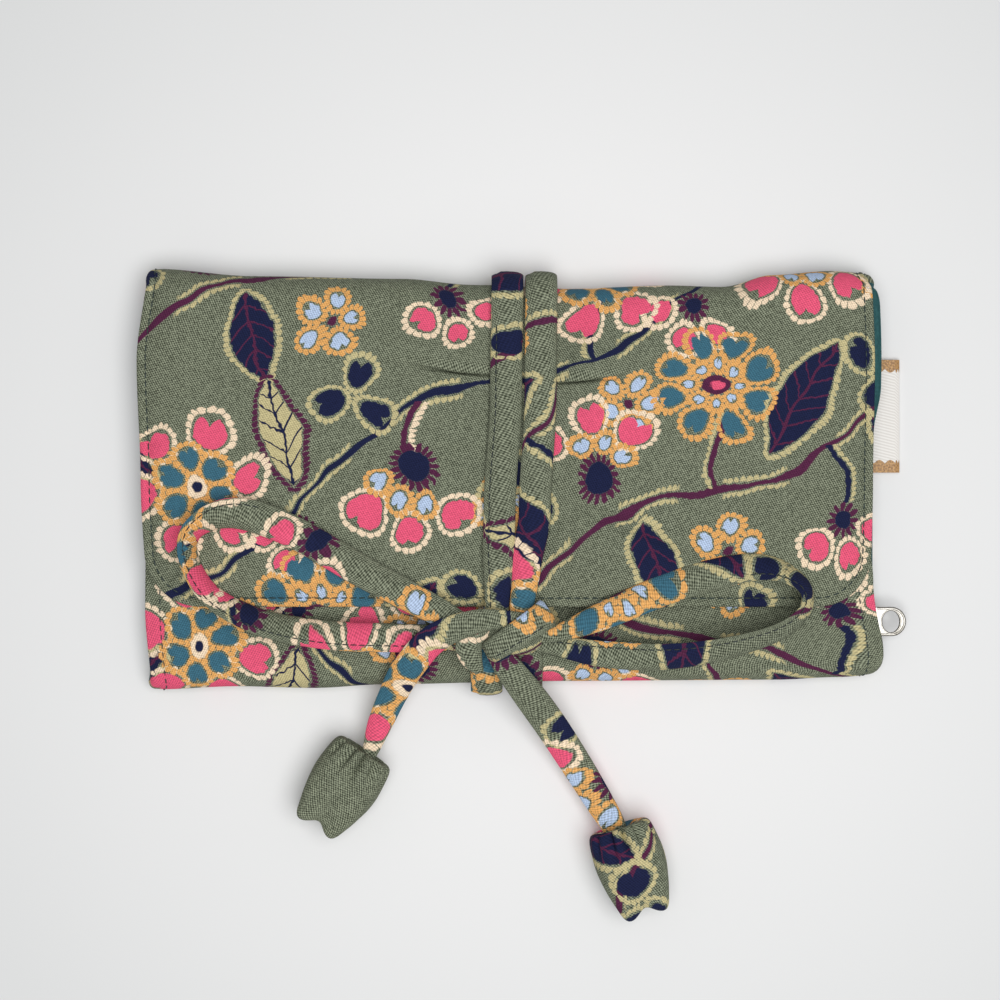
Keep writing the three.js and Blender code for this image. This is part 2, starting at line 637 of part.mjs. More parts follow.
// Flat tab: small eye round the bail, neck, round body with a large eye at the free end
function addPull() {
  const end = pullLength - pullWidth / 2;
  const outline = new THREE.Shape();
  outline.moveTo(0, -2.4);
  outline.lineTo(7, -2.2);
  outline.bezierCurveTo(10, -2.4, 11, -pullWidth / 2, 14, -pullWidth / 2);
  outline.lineTo(end, -pullWidth / 2);
  outline.absarc(end, 0, pullWidth / 2, -Math.PI / 2, Math.PI / 2, false);
  outline.lineTo(14, pullWidth / 2);
  outline.bezierCurveTo(11, pullWidth / 2, 10, 2.4, 7, 2.2);
  outline.lineTo(0, 2.4);
  outline.absarc(0, 0, 2.4, Math.PI / 2, Math.PI * 1.5, false);
  const smallEye = new THREE.Path();
  smallEye.absarc(0, 0, 1.3, 0, Math.PI * 2, false);
  const largeEye = new THREE.Path();
  largeEye.absellipse(end - 0.2, 0, 2.6, 3.3, 0, Math.PI * 2, false, 0);
  outline.holes.push(smallEye, largeEye);
  const tab = new THREE.ExtrudeGeometry(outline, {
    depth: pullThickness - 0.4, bevelEnabled: true, bevelThickness: 0.2, bevelSize: 0.2, bevelOffset: -0.2,
    bevelSegments: 1, curveSegments: 10,
  });
  const level = zipZ - shieldOut - 0.25 - 0.9;
  tab.translate(pivotX, zipLineY, level - pullThickness / 2 + 0.2);
  addPiece('pull_tab', tab, 'nickel');
}

addBack();
addFlap();
addPocketPanel();
addFolds();
addWrap('tie_wrap_left', strapLeftX);
addWrap('tie_wrap_right', strapRightX);
addFrontStrap('tie_front_left', strapLeftX, knotStrapLeftX);
addFrontStrap('tie_front_right', strapRightX, knotStrapRightX);
addBow();
addZip();
addSlider();
addBail();
addPull();

export default roll;
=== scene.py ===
"""Looks of the tied cloth jewelry roll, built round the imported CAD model."""
import math

import bpy
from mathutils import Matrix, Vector, noise

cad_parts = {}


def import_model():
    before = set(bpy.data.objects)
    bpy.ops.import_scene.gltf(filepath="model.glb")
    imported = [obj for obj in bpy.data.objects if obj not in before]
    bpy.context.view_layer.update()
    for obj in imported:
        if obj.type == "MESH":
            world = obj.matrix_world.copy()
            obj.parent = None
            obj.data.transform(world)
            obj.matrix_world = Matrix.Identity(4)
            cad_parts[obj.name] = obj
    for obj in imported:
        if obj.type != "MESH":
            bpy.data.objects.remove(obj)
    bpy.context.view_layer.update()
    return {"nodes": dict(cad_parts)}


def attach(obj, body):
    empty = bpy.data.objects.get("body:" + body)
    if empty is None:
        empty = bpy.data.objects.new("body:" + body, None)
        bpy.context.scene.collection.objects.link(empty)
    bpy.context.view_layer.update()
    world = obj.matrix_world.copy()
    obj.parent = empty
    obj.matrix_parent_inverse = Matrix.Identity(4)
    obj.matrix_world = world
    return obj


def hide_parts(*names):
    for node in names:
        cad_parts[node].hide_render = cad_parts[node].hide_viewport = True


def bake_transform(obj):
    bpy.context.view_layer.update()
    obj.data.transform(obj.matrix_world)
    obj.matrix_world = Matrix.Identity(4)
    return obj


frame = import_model()

# Sizes are in millimetres unless a name says otherwise. X is measured from the roll's middle.
MM = 0.001
MIDDLE_X = -4.7
MIDDLE = Vector((MIDDLE_X, 0, 0))
HALF = 110.5

# Panels and folds. Radii are those of the cover, the seam and the lining.
FLAP_EDGE = -38.4
FLAP_CORNER = 16.0
POCKET_TIP = -4.1
TOP_FOLD = 53.7
TOP_RADII = (8.8, 6.3, 5.4)
BOTTOM_FOLD = -56.1
BOTTOM_RADII = (6.4, 4.1, 3.5)

# Where a piece bends between the back and a panel, in metres: (fold, level at the back, level at the panel)
TOP_COVER_BEND = (TOP_FOLD * MM, 0.0021, 0.0138)
TOP_LINING_BEND = (TOP_FOLD * MM, 0.0078, 0.0098)
BOTTOM_COVER_BEND = (BOTTOM_FOLD * MM, 0.0035, 0.0092)
BOTTOM_LINING_BEND = (BOTTOM_FOLD * MM, 0.005, 0.0086)
BOTTOM_STRAP_BEND = (BOTTOM_FOLD * MM, 0.0035, 0.0105)

# Levels of the layers
BACK_SEAM = 1.3
BACK_LINING_EDGE = 2.5
BACK_LINING = 4.8
POCKET_LINING = 8.7
POCKET_SEAM = 9.45
POCKET_RIM = 10.5
POCKET_PUFF = 2.3
FLAP_LINING = 13.2
FLAP_SEAM = 13.95
FLAP_RIM = 15.0
FLAP_PUFF = 2.6
CLOTH = 0.6
LINING_CLOTH = 0.4

# Tie
STRAP_WIDTH = 9.6
STRAP_THICKNESS = 2.7
PRESSED_STRAP = 1.6
STRAP_GAP = 0.3
STRAP_DENT = 1.7
CHANNEL_LIFT = 1.9
STRAP_SEAM = 1.7
STRAP_STEP = 1.3
WRAP_STEP = 3
FOLD_TURN = 0.16
KNOT = (0.4, -47.0, 19.4)
KNOT_HALF = (9.6, 6.2, 4.4)
SECTION_POINTS = 20

# Zip
ZIP_LINE = -43.2
ZIP_LEVEL = 9.8
WINDOW_HALF = 4.6
ZIP_END_LEFT = -99.4
ZIP_END_RIGHT = 102.8
TAPE_INNER = 2.3
TAPE_OUTER = 9.0

PULL_PIVOT = 97.5
PULL_LENGTH = 22.4
PULL_WIDTH = 8.9

LABEL_LENGTH = 34.5

# Stitching
FLAP_STITCH = 2.7
POCKET_STITCH = 4.7
STITCH_PITCH = 2.7
STITCH_LENGTH = 2.2
THREAD_RADIUS = 0.22
# Along one stitch: (place, share of the thread's radius, lift in radii)
STITCH_PROFILE = [(0.0, 0.4, -0.3), (0.18, 0.9, 0.5), (0.5, 1.0, 0.8), (0.82, 0.9, 0.5), (1.0, 0.4, -0.3)]

# Spacing of the meshes
COVER_COLUMN = 1.7
LINING_COLUMN = 5.0
FLAP_ROW = 1.2
CREASE_ROW = 0.3
POCKET_ROW = 1.7
FOLD_ROW = 1.3
BACK_ROW = 3.5
SEAM_STEP = 0.8
SEAM_ROWS = [0, 0.12, 0.35, 0.7, 1.1, 1.6]

# How the edges of the soft roll wander, and how far the lining peeks out and the flap's edge stands off:
# (place, shift) pairs
FLAP_LEFT = [(-38, 0.6), (0, -1.2), (35, -2.4), (62, 0.7)]
FLAP_RIGHT = [(-38, -2.4), (0, -1.6), (35, -1.0), (62, -1.8)]
POCKET_LEFT = [(-62, 1.4), (-40, -0.4), (0, 0.0)]
POCKET_RIGHT = [(-63, 1.4), (-56, 2.2), (-31, -0.9), (-12, -2.8), (0, -3.2)]
TOP_WAVE = [(-110, 1.4), (-78, -1.0), (-33, -1.8), (-12, -3.6), (18, -4.8), (49, -3.8), (66, -4.2),
            (82, -0.6), (100, 0.6), (109, 0.2)]
BOTTOM_WAVE = [(-109, -1.4), (-84, -0.4), (-60, -0.9), (-39, 0.2), (10, 1.2), (80, 1.6), (98, 2.4),
               (110, 3.0)]
LINING_PEEK = [(14, 0.0), (28, 1.9), (52, 2.1), (61, 0.8)]
EDGE_LIFT = [(-110, 0.0), (-70, 1.8), (-22, 1.4), (0, 0.8), (16, 3.2), (26, 3.2), (46, 2.9), (70, 2.6),
             (90, 1.2), (110, 0.3)]

# Creases of the flap: (x, y, slope, depth, half width, reach, how far the upper lip leans over)
CREASES = [
    (-14, 33.8, -0.08, 2.7, 0.9, 13, 1.7), (19, 31.4, 0.07, 2.7, 1.0, 11, 1.9),
    (36, -14, -0.35, 1.8, 1.8, 22, 0.8), (-62, 6, -0.2, 1.4, 2.2, 24, 0.5),
]
# Part of the flap whose rows lie close together for the creases
FINE_ROWS = (28.5, 37.0)
# Wadding that swells out: (height, y, reach in y, reach in x)
SWELLS = [(2.8, 41, 6.4, 48), (1.0, 23, 6, 40)]
SWELL_X = 4

# Middle lines of the straps on the front, and where they cross the two folds
STRAP_FRONT = {
    "left": [(-40, -4.4), (-27, -4.0), (-10, -3.6), (25, -1.6), (60, -1.2)],
    "right": [(-40, 3.0), (-27, 4.4), (-10, 7.0), (25, 8.7), (60, 9.0)],
}
STRAP_TOP = {"left": -1.2, "right": 9.0}
STRAP_BOTTOM = {"left": -7.5, "right": 4.6}


def clamp(value):
    return min(max(value, 0.0), 1.0)


def smooth(value):
    t = clamp(value)
    return t * t * (3 - 2 * t)


def rise(distance, reach):
    return math.sin(clamp(distance / reach) * math.pi / 2)


def bell(value, width):
    return math.exp(-(value / width) ** 2)


def lerp(a, b, share):
    return a + (b - a) * share


def through(points, place):
    """Smooth value at a place, from a few (place, value) pairs."""
    if place <= points[0][0]:
        return points[0][1]
    for (a, low), (b, high) in zip(points, points[1:]):
        if place <= b:
            return lerp(low, high, smooth((place - a) / (b - a)))
    return points[-1][1]


def ripple(x, y, seed):
    return noise.noise(Vector((x, y, seed)))


def steps(start, end, size):
    count = max(1, round(abs(end - start) / size))
    return [lerp(start, end, i / count) for i in range(count + 1)]


# Shape of the cloth layers


def flap_inset(x, y):
    """Distance from the flap's outline, which has round lower corners."""
    side = HALF - abs(x)
    front = y - FLAP_EDGE
    if side < FLAP_CORNER and front < FLAP_CORNER:
        return FLAP_CORNER - math.hypot(FLAP_CORNER - side, FLAP_CORNER - front)
    return min(side, front)


def pocket_inset(x, y):
    return min(HALF - abs(x), POCKET_TIP - y)


def beneath_straps(x, left, right, slope):
    """1 under the pair of straps, 0 at the slope's end on each side."""
    reach = STRAP_WIDTH / 2 + 0.4
    outside = max(left - reach - x, x - right - reach, 0)
    return smooth(1 - outside / slope)


def pressed(x, y, slope):
    """1 on the flap under the straps, 0 beside them."""
    return beneath_straps(x, through(STRAP_FRONT["left"], y), through(STRAP_FRONT["right"], y), slope)


def wrap_x(side, y):
    """Middle line of a strap under the back."""
    return lerp(STRAP_BOTTOM[side], STRAP_TOP[side], (y - BOTTOM_FOLD) / (TOP_FOLD - BOTTOM_FOLD))


def edge_lift(x, y):
    """How far the free edge of the flap stands off."""
    return through(EDGE_LIFT, x) * smooth((FLAP_EDGE + 26 - y) / 26)


def flap_wrinkles(x, y):
    """Wadding that swells between the straps and the seams, and the creases that the tie pulls into it."""
    broad = 1.1 * ripple(x / 34, y / 20, 1.5) + 0.45 * ripple(x / 11, y / 8, 4.5)
    swell = sum(high * bell(y - at, wide) * bell(x - SWELL_X, reach) for high, at, wide, reach in SWELLS)
    creases = 0.0
    for at_x, at_y, slope, depth, half_width, reach, _ in CREASES:
        creases += depth * bell(y - at_y - slope * (x - at_x), half_width) * bell(x - at_x, reach)
    return (broad + swell) * (1 - pressed(x, y, 9)) - creases


def flap_lean(x, y):
    """How far the cloth above a crease sags over it."""
    lean = 0.0
    for at_x, at_y, slope, _, half_width, reach, lip in CREASES:
        above = y - at_y - slope * (x - at_x)
        lean -= lip * bell(above - 1.5 * half_width, 1.2 * half_width) * bell(x - at_x, reach)
    return lean


def pucker(along, inset, stitch, seed):
    """Small gathers of the cloth beside a line of stitches."""
    wave = math.sin(along * 0.95 + 2.5 * ripple(along / 13, 0, seed))
    return 0.13 * wave * bell(inset - stitch - 1.6, 2.2)


def flap_top(x, y):
    inset = flap_inset(x, y)
    full = rise(inset - FLAP_STITCH, 9)
    puff = max(FLAP_PUFF - STRAP_DENT * pressed(x, y, 12) + flap_wrinkles(x, y), -0.7)
    groove = 0.5 * bell(inset - FLAP_STITCH, 0.8)
    return FLAP_RIM + full * puff - groove + pucker(x + y, inset, FLAP_STITCH, 2.0) + edge_lift(x, y)


def pocket_top(x, y):
    inset = pocket_inset(x, y)
    full = rise(inset - 1.5, 8)
    shown = smooth((FLAP_EDGE - 2 - y) / 6)
    wrinkle = shown * (0.4 * ripple(x / 26, y / 14, 7.5) + 0.15 * ripple(x / 8, y / 6, 3.5))
    valley = -2.2 * bell(y + 41, 4.5) * smooth((86 - abs(x - 8)) / 30)
    groove = 0.5 * bell(HALF - abs(x) - POCKET_STITCH, 0.8)
    gathers = shown * pucker(y, inset, POCKET_STITCH, 5.0)
    return POCKET_RIM + full * (POCKET_PUFF + wrinkle + valley) - groove + gathers


def back_bottom(x, y):
    return CHANNEL_LIFT * beneath_straps(x, wrap_x("left", y), wrap_x("right", y), 3)


def back_lining(x, y):
    return lerp(BACK_LINING_EDGE, BACK_LINING, rise(HALF - abs(x), 8))


def edge_roll(inset):
    """0 at the seam, 1 where the cloth has rolled over to its face."""
    t = clamp(inset / 1.8)
    return math.sqrt(1 - (1 - t) ** 2)


def arc(fold, reach, low, high, angle):
    """(y, z) on half an ellipse between two levels at a fold. Its reach is negative at the bottom fold."""
    middle = (low + high) / 2
    half = (high - low) / 2
    return fold + reach * math.cos(angle), middle + half * math.sin(angle)


class Wing:
    """One half of the roll's cloth: a free panel, the fold, and half of the back.

    A place on it is (x, run), where run is measured along the cloth from the panel's free edge.
    """

    def __init__(self, free_edge, fold, radii, seam, inset, cover, lining, lean):
        self.free_edge = free_edge
        self.fold = fold
        self.outward = 1 if fold > 0 else -1
        self.radii = radii
        self.seam = seam
        self.inset = inset
        self.cover = cover
        self.lining = lining
        self.lean = lean
        self.panel_run = abs(fold - free_edge)
        self.arc_run = math.pi * radii[0]
        self.full_run = self.panel_run + self.arc_run + abs(fold)

    def layers(self, x, run):
        """(y, z) of the cover, the seam and the lining, and the distance from the outline."""
        out = self.outward
        if run <= self.panel_run:
            y = self.free_edge + out * run
            cover = (y + self.lean(x, y), self.cover(x, y))
            return cover, (y, self.seam(x, y)), (y, self.lining(x, y)), self.inset(x, y)
        side = HALF - abs(x)
        if run >= self.panel_run + self.arc_run:
            y = self.fold - out * (run - self.panel_run - self.arc_run)
            return (y, back_bottom(x, y)), (y, BACK_SEAM), (y, back_lining(x, y)), side
        angle = math.pi / 2 - math.pi * (run - self.panel_run) / self.arc_run
        fold = self.fold
        rounded = out * (0.94 + 0.06 * rise(side, 6))
        lows = (back_bottom(x, fold), BACK_SEAM, back_lining(x, fold))
        highs = (self.cover(x, fold), self.seam(x, fold), self.lining(x, fold))
        cover, seam, lining = (arc(fold, radius * rounded, low, high, angle)
                               for radius, low, high in zip(self.radii, lows, highs))
        return cover, seam, lining, side

    def outside(self, x, run):
        cover, seam, _, inset = self.layers(x, run)
        share = edge_roll(inset)
        return placed(x, lerp(seam[0], cover[0], share), lerp(seam[1], cover[1], share))

    def inside(self, x, run):
        _, seam, lining, inset = self.layers(x, run)
        share = edge_roll(inset)
        y = lerp(seam[0], lining[0], share)
        z = lerp(seam[1], lining[1], share)
        point = placed(x, y, z)
        point.x += through(LINING_PEEK, y) * smooth((z - 9) / 4) * smooth((x - HALF + 8) / 8) * MM
        return point


def placed(x, y, z):
    """A point of the flat-drawn roll, moved to where the soft cloth really lies, in metres."""
    flap = smooth((z - 11) / 2.6)
    pocket = smooth((z - 5) / 4)
    left = lerp(pocket * through(POCKET_LEFT, y), through(FLAP_LEFT, y), flap)
    right = lerp(pocket * through(POCKET_RIGHT, y), through(FLAP_RIGHT, y), flap)
    shift = left * smooth(-x / HALF) + right * smooth(x / HALF)
    top = smooth((y - 16) / 38) * through(TOP_WAVE, x)
    bottom = smooth((-42 - y) / 14) * through(BOTTOM_WAVE, x)
    return Vector(((x + shift + MIDDLE_X) * MM, (y + top + bottom) * MM, z * MM))


FLAP_WING = Wing(
    FLAP_EDGE, TOP_FOLD, TOP_RADII, lambda x, y: FLAP_SEAM + edge_lift(x, y), flap_inset, flap_top,
    lambda x, y: FLAP_LINING + edge_lift(x, y), flap_lean)
POCKET_WING = Wing(
    POCKET_TIP, BOTTOM_FOLD, BOTTOM_RADII, lambda x, y: POCKET_SEAM, pocket_inset, pocket_top,
    lambda x, y: POCKET_LINING, lambda x, y: 0.0)


def world(point):
    """A point measured from the roll's middle, moved to the shared frame, in metres."""
    return (point + MIDDLE) * MM


# Meshes


class Shape:
    """Collects points, faces, flat cloth coordinates and material numbers of one mesh."""

    def __init__(self):
        self.points = []
        self.faces = []
        self.cloth = []
        self.slots = []

    def face(self, corners, cloth, slot=0):
        self.faces.append(corners)
        self.cloth.append(cloth)
        self.slots.append(slot)

    def sheet(self, rows, flat_rows, thickness, flip=False, back_slot=0):
        """Cloth through rows of points, which are its face. Its thickness lies behind the face."""
        width = len(rows[0])
        height = len(rows)
        flat = [place for row in flat_rows for place in row]
        face = len(self.points)
        behind = face + width * height
        self.points += [point for row in rows for point in row]
        for i, row in enumerate(rows):
            for j, point in enumerate(row):
                across = row[min(j + 1, width - 1)] - row[max(j - 1, 0)]
                along = rows[min(i + 1, height - 1)][j] - rows[max(i - 1, 0)][j]
                normal = along.cross(across) if flip else across.cross(along)
                self.points.append(point - normal.normalized() * thickness * MM)

        def quad(corners, starts, slot=0):
            if flip:
                corners, starts = corners[::-1], starts[::-1]
            self.face([s + c for s, c in zip(starts, corners)], [flat[c] for c in corners], slot)

        for i in range(height - 1):
            for j in range(width - 1):
                a = i * width + j
                corners = [a, a + 1, a + width + 1, a + width]
                quad(corners, [face] * 4)
                quad(corners[::-1], [behind] * 4, back_slot)
        border = list(range(width)) + [i * width + width - 1 for i in range(1, height)]
        border += [(height - 1) * width + j for j in reversed(range(width - 1))]
        border += [i * width for i in reversed(range(height - 1))]
        for a, b in zip(border, border[1:]):
            quad([b, a, a, b], [face, face, behind, behind])

    def tube(self, rings, flat_rings, slot=0, caps=True):
        """Rings of points joined all round. Each flat ring has one place more, for the closing edge."""
        start = len(self.points)
        count = len(rings[0])
        self.points += [point for ring in rings for point in ring]
        for i in range(len(rings) - 1):
            near, far = flat_rings[i], flat_rings[i + 1]
            for j in range(count):
                k = (j + 1) % count
                corners = [i * count + j, i * count + k, (i + 1) * count + k, (i + 1) * count + j]
                cloth = [near[j], near[j + 1], far[j + 1], far[j]]
                self.face([start + c for c in corners], cloth, slot)
        if caps:
            last = start + (len(rings) - 1) * count
            self.face([start + j for j in reversed(range(count))], flat_rings[0][:count][::-1], slot)
            self.face([last + j for j in range(count)], flat_rings[-1][:count], slot)

    def object(self, name, materials):
        mesh = bpy.data.meshes.new(name)
        mesh.from_pydata([tuple(p) for p in self.points], [], self.faces)
        layer = mesh.uv_layers.new(name="cloth")
        flat = [number for corners in self.cloth for place in corners for number in place]
        layer.data.foreach_set("uv", flat)
        mesh.polygons.foreach_set("material_index", self.slots)
        mesh.polygons.foreach_set("use_smooth", [True] * len(self.faces))
        for material in materials:
            mesh.materials.append(material)
        mesh.update()
        mesh.set_sharp_from_angle(angle=math.radians(60))
        return link(name, mesh)


def sew(shape, line, slot, pitch=STITCH_PITCH, length=STITCH_LENGTH, radius=THREAD_RADIUS):
    """Adds a row of stitches along a line of (point, normal) pairs, in metres."""
    travelled = [0.0]
    for (a, _), (b, _) in zip(line, line[1:]):
        travelled.append(travelled[-1] + (b - a).length / MM)

    def at(distance):
        i = next(k for k in range(len(line) - 1) if distance <= travelled[k + 1])
        share = (distance - travelled[i]) / max(travelled[i + 1] - travelled[i], 1e-6)
        return line[i][0].lerp(line[i + 1][0], share), line[i][1].lerp(line[i + 1][1], share)

    first = 0.3
    while first + length < travelled[-1]:
        rings = []
        for share, wide, lift in STITCH_PROFILE:
            point, normal = at(first + share * length)
            ahead, _ = at(min(first + share * length + 0.1, travelled[-1]))
            behind, _ = at(max(first + share * length - 0.1, 0.0))
            along = (ahead - behind).normalized()
            side = along.cross(normal).normalized()
            up = side.cross(along)
            centre = point + up * lift * radius * MM
            rings.append([centre + (side * math.cos(t) + up * math.sin(t)) * wide * radius * MM
                          for t in (-k * math.pi / 3 for k in range(6))])
        shape.tube(rings, [[(0.0, 0.0)] * 7] * len(rings), slot)
        first += pitch


def seam_line(surface, places):
    """(point, normal) pairs of a surface along (x, run) places."""
    nudge = 0.2
    found = []
    for x, run in places:
        across = surface(x + nudge, run) - surface(x - nudge, run)
        along = surface(x, run + nudge) - surface(x, run - nudge)
        normal = across.cross(along).normalized()
        found.append((surface(x, run), normal))
    return found


# Cloth panels


def settle(piece, slot, body, *nodes, bend=None):
    """Ties a piece to its body, or, where it lies across the bend between the back and that body, bakes its
    place into its mesh. Hides the solids it stands for.
    """
    if bend:
        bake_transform(piece)
    else:
        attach(piece, body)
    if nodes:
        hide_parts(*nodes)


def columns(size):
    """Places across a panel: close together at the side seams."""
    edge = SEAM_ROWS + [2.1, 2.7, 3.3, 4.2, 5.4, 7, 9]
    left = [inset - HALF for inset in edge]
    return left + steps(9 - HALF, HALF - 9, size)[1:-1] + [-x for x in reversed(left)]


def corner_half(front):
    """Half width of the flap at a distance from its free edge."""
    short = FLAP_CORNER - min(front, FLAP_CORNER)
    return HALF - FLAP_CORNER + math.sqrt(FLAP_CORNER ** 2 - short ** 2)


def drawn_in(x, half):
    """A place across the flap, drawn towards the middle where the corners narrow it."""
    steady = 50
    if abs(x) <= steady:
        return x
    return math.copysign(steady + (abs(x) - steady) * (half - steady) / (HALF - steady), x)


def wing_runs(wing, start, size):
    """Rows of a wing's mesh, from those at its free edge to the middle of the back."""
    panel_end = wing.panel_run
    arc_end = panel_end + wing.arc_run
    return (start + steps(start[-1], panel_end, size)[1:] + steps(panel_end, arc_end, FOLD_ROW)[1:]
            + steps(arc_end, wing.full_run, BACK_ROW)[1:])


CORNER_TURNS = [k * math.pi / 32 for k in range(17)]
FLAP_EDGE_RUNS = [FLAP_CORNER * (1 - math.cos(t)) for t in CORNER_TURNS]
POCKET_EDGE_RUNS = SEAM_ROWS + [2.4, 3.6]


def panel(shape, surface, xs, runs, half, offset, thickness, flip, back_slot=0):
    """Fills a shape with the cloth of a wing between the given runs."""
    rows = []
    flat = []
    for run in runs:
        places = [drawn_in(x, half(run)) for x in xs]
        rows.append([surface(x, run) for x in places])
        flat.append([(x + offset[0], run + offset[1]) for x in places])
    shape.sheet(rows, flat, thickness, flip, back_slot)


def reverse_side(line):
    """A line of (point, normal) pairs for the other side of the cloth."""
    return [(point, -normal) for point, normal in line]


def pocket_stitches(wing, start, sign):
    """Line of stitches down one side of the pocket panel, which joins the flap's line on the back."""
    places = []
    for run in steps(start, wing.full_run, SEAM_STEP):
        share = smooth((run - wing.panel_run) / (wing.full_run - wing.panel_run))
        places.append((sign * (HALF - lerp(POCKET_STITCH, FLAP_STITCH, share)), run))
    return places


def flap_stitches(wing):
    """The line of topstitching: down one side, round the free edge and up the other."""
    radius = FLAP_CORNER - FLAP_STITCH
    middle = HALF - FLAP_CORNER
    side = HALF - FLAP_STITCH
    down = [(-side, run) for run in steps(wing.full_run, FLAP_CORNER, SEAM_STEP)]
    left = [(-middle - radius * math.cos(t), FLAP_CORNER - radius * math.sin(t)) for t in CORNER_TURNS]
    across = [(x, FLAP_STITCH) for x in steps(-middle, middle, SEAM_STEP)]
    right = [(-x, run) for x, run in reversed(left)]
    up = [(side, run) for run in steps(FLAP_CORNER, wing.full_run, SEAM_STEP)]
    return down + left[1:] + across[1:] + right[1:] + up[1:]


def zip_stitches(run):
    """Line of stitches along the zip."""
    return [(x, run) for x in steps(-HALF + 8, HALF - 8, SEAM_STEP)]


def straight(run):
    """Half width of a panel without round corners."""
    return HALF


def add_lining(name, shape, looks, body, nodes, bend=None):
    piece = shape.object(name, [looks["lining"], looks["thread"]])
    settle(piece, "lining_cotton", body, *nodes, bend=bend)


def add_flap_cloth(looks):
    """Printed cloth of the flap and its half of the back, with close rows at the creases."""
    wing = FLAP_WING
    runs = wing_runs(wing, FLAP_EDGE_RUNS, FLAP_ROW)
    fine = steps(FINE_ROWS[0] - FLAP_EDGE, FINE_ROWS[1] - FLAP_EDGE, CREASE_ROW)
    cover_runs = sorted([run for run in runs if not fine[0] - 0.4 < run < fine[-1] + 0.4] + fine)
    cover = Shape()
    panel(cover, wing.outside, columns(COVER_COLUMN), cover_runs, corner_half, (0, 0), CLOTH, False)
    sew(cover, seam_line(wing.outside, flap_stitches(wing)), 1)
    piece = cover.object("flap_cloth", [looks["print"], looks["thread"]])
    settle(piece, "printed_cotton", "flap", "flap_cover", "flap_batting", "top_fold_cover",
           bend=TOP_COVER_BEND)
    add_flap_lining(wing, runs, looks)


def add_flap_lining(wing, runs, looks):
    lining = Shape()
    panel(lining, wing.inside, columns(LINING_COLUMN), runs, corner_half, (0, 0), LINING_CLOTH, True)
    sew(lining, reverse_side(seam_line(wing.inside, flap_stitches(wing))), 1)
    add_lining("flap_lining_cloth", lining, looks, "flap", ["flap_lining", "top_fold_lining"],
               TOP_LINING_BEND)


def add_pocket_cloth(looks):
    """Printed cloth of the pocket panel and its half of the back. Its inner side is lined."""
    wing = POCKET_WING
    runs = wing_runs(wing, POCKET_EDGE_RUNS, POCKET_ROW)
    cover = Shape()
    offset = (0, -2 * wing.full_run - FLAP_WING.full_run)
    panel(cover, wing.outside, columns(COVER_COLUMN), runs, straight, offset, CLOTH, True, back_slot=2)
    for sign in (-1, 1):
        sew(cover, reverse_side(seam_line(wing.outside, pocket_stitches(wing, 2.0, sign))), 1)
    piece = cover.object("pocket_cloth", [looks["print"], looks["thread"], looks["lining"]])
    settle(piece, "printed_cotton", "pocket", "pocket_cover", "pocket_batting", "bottom_fold_cover",
           "back_cover", "back_batting", bend=BOTTOM_COVER_BEND)
    add_pocket_lining(wing, runs, looks)


def add_pocket_lining(wing, runs, looks):
    """Lining of the back and of the strip below the zip, and of the panel above the zip."""
    xs = columns(LINING_COLUMN)
    window_low = wing.panel_run - (ZIP_LINE - WINDOW_HALF - BOTTOM_FOLD)
    window_high = POCKET_TIP - ZIP_LINE - WINDOW_HALF
    fold_runs = [window_low] + [run for run in runs if run > window_low + 0.5]
    strip = Shape()
    panel(strip, wing.inside, xs, fold_runs, straight, (0, 0), LINING_CLOTH, False)
    sew(strip, seam_line(wing.inside, zip_stitches(window_low + 1.6)), 1)
    for sign in (-1, 1):
        sew(strip, seam_line(wing.inside, pocket_stitches(wing, window_low + 3, sign)), 1)
    add_lining("back_lining_cloth", strip, looks, "pocket",
               ["back_lining", "bottom_fold_lining", "pocket_lining_fold_strip"],
               BOTTOM_LINING_BEND)

    face_runs = [run for run in runs if run < window_high - 0.5] + [window_high]
    face = Shape()
    panel(face, wing.inside, xs, face_runs, straight, (0, 0), LINING_CLOTH, False)
    sew(face, seam_line(wing.inside, zip_stitches(window_high - 1.6)), 1)
    for sign, inner in ((-1, ZIP_END_LEFT), (1, ZIP_END_RIGHT)):
        beside = [sign * (HALF - inset) for inset in (0, 0.35, 1.1, 2.1, 4, HALF - abs(inner))]
        window = steps(window_high - 0.2, window_low + 0.2, 3)
        panel(face, wing.inside, sorted(beside), window, straight, (0, 0), LINING_CLOTH, False)
    add_lining("pocket_face_lining", face, looks, "pocket", ["pocket_lining_face"])


def add_slip_pocket(looks):
    """Open pocket on the back lining, with a turned hem along its mouth."""
    low, high, half, hem = -33.0, 36.0, 101.5, 6.0
    xs = steps(-half, half, 6)
    ys = steps(low, high - hem - 0.8, 6) + [high - hem, high - hem + 0.4, high - 1, high - 0.3, high]
    shape = Shape()

    def level(x, y):
        ease = rise(min(half - abs(x), y - low), 6)
        return 5.45 + 0.12 * ease * (1 + ripple(x / 30, y / 20, 9.0)) + (0.2 if y > high - hem else 0.0)

    rows = [[placed(x, y, level(x, y)) for x in xs] for y in ys]
    shape.sheet(rows, [[(x, y) for x in xs] for y in ys], 0.35)
    up = Vector((0, 0, 1))
    for y in (high - hem + 0.9, low + 1.5):
        sew(shape, [(placed(x, y, level(x, y)), up) for x in steps(-half + 1, half - 1, SEAM_STEP)], 1)
    add_lining("slip_pocket_cloth", shape, looks, "back", ["slip_pocket"])


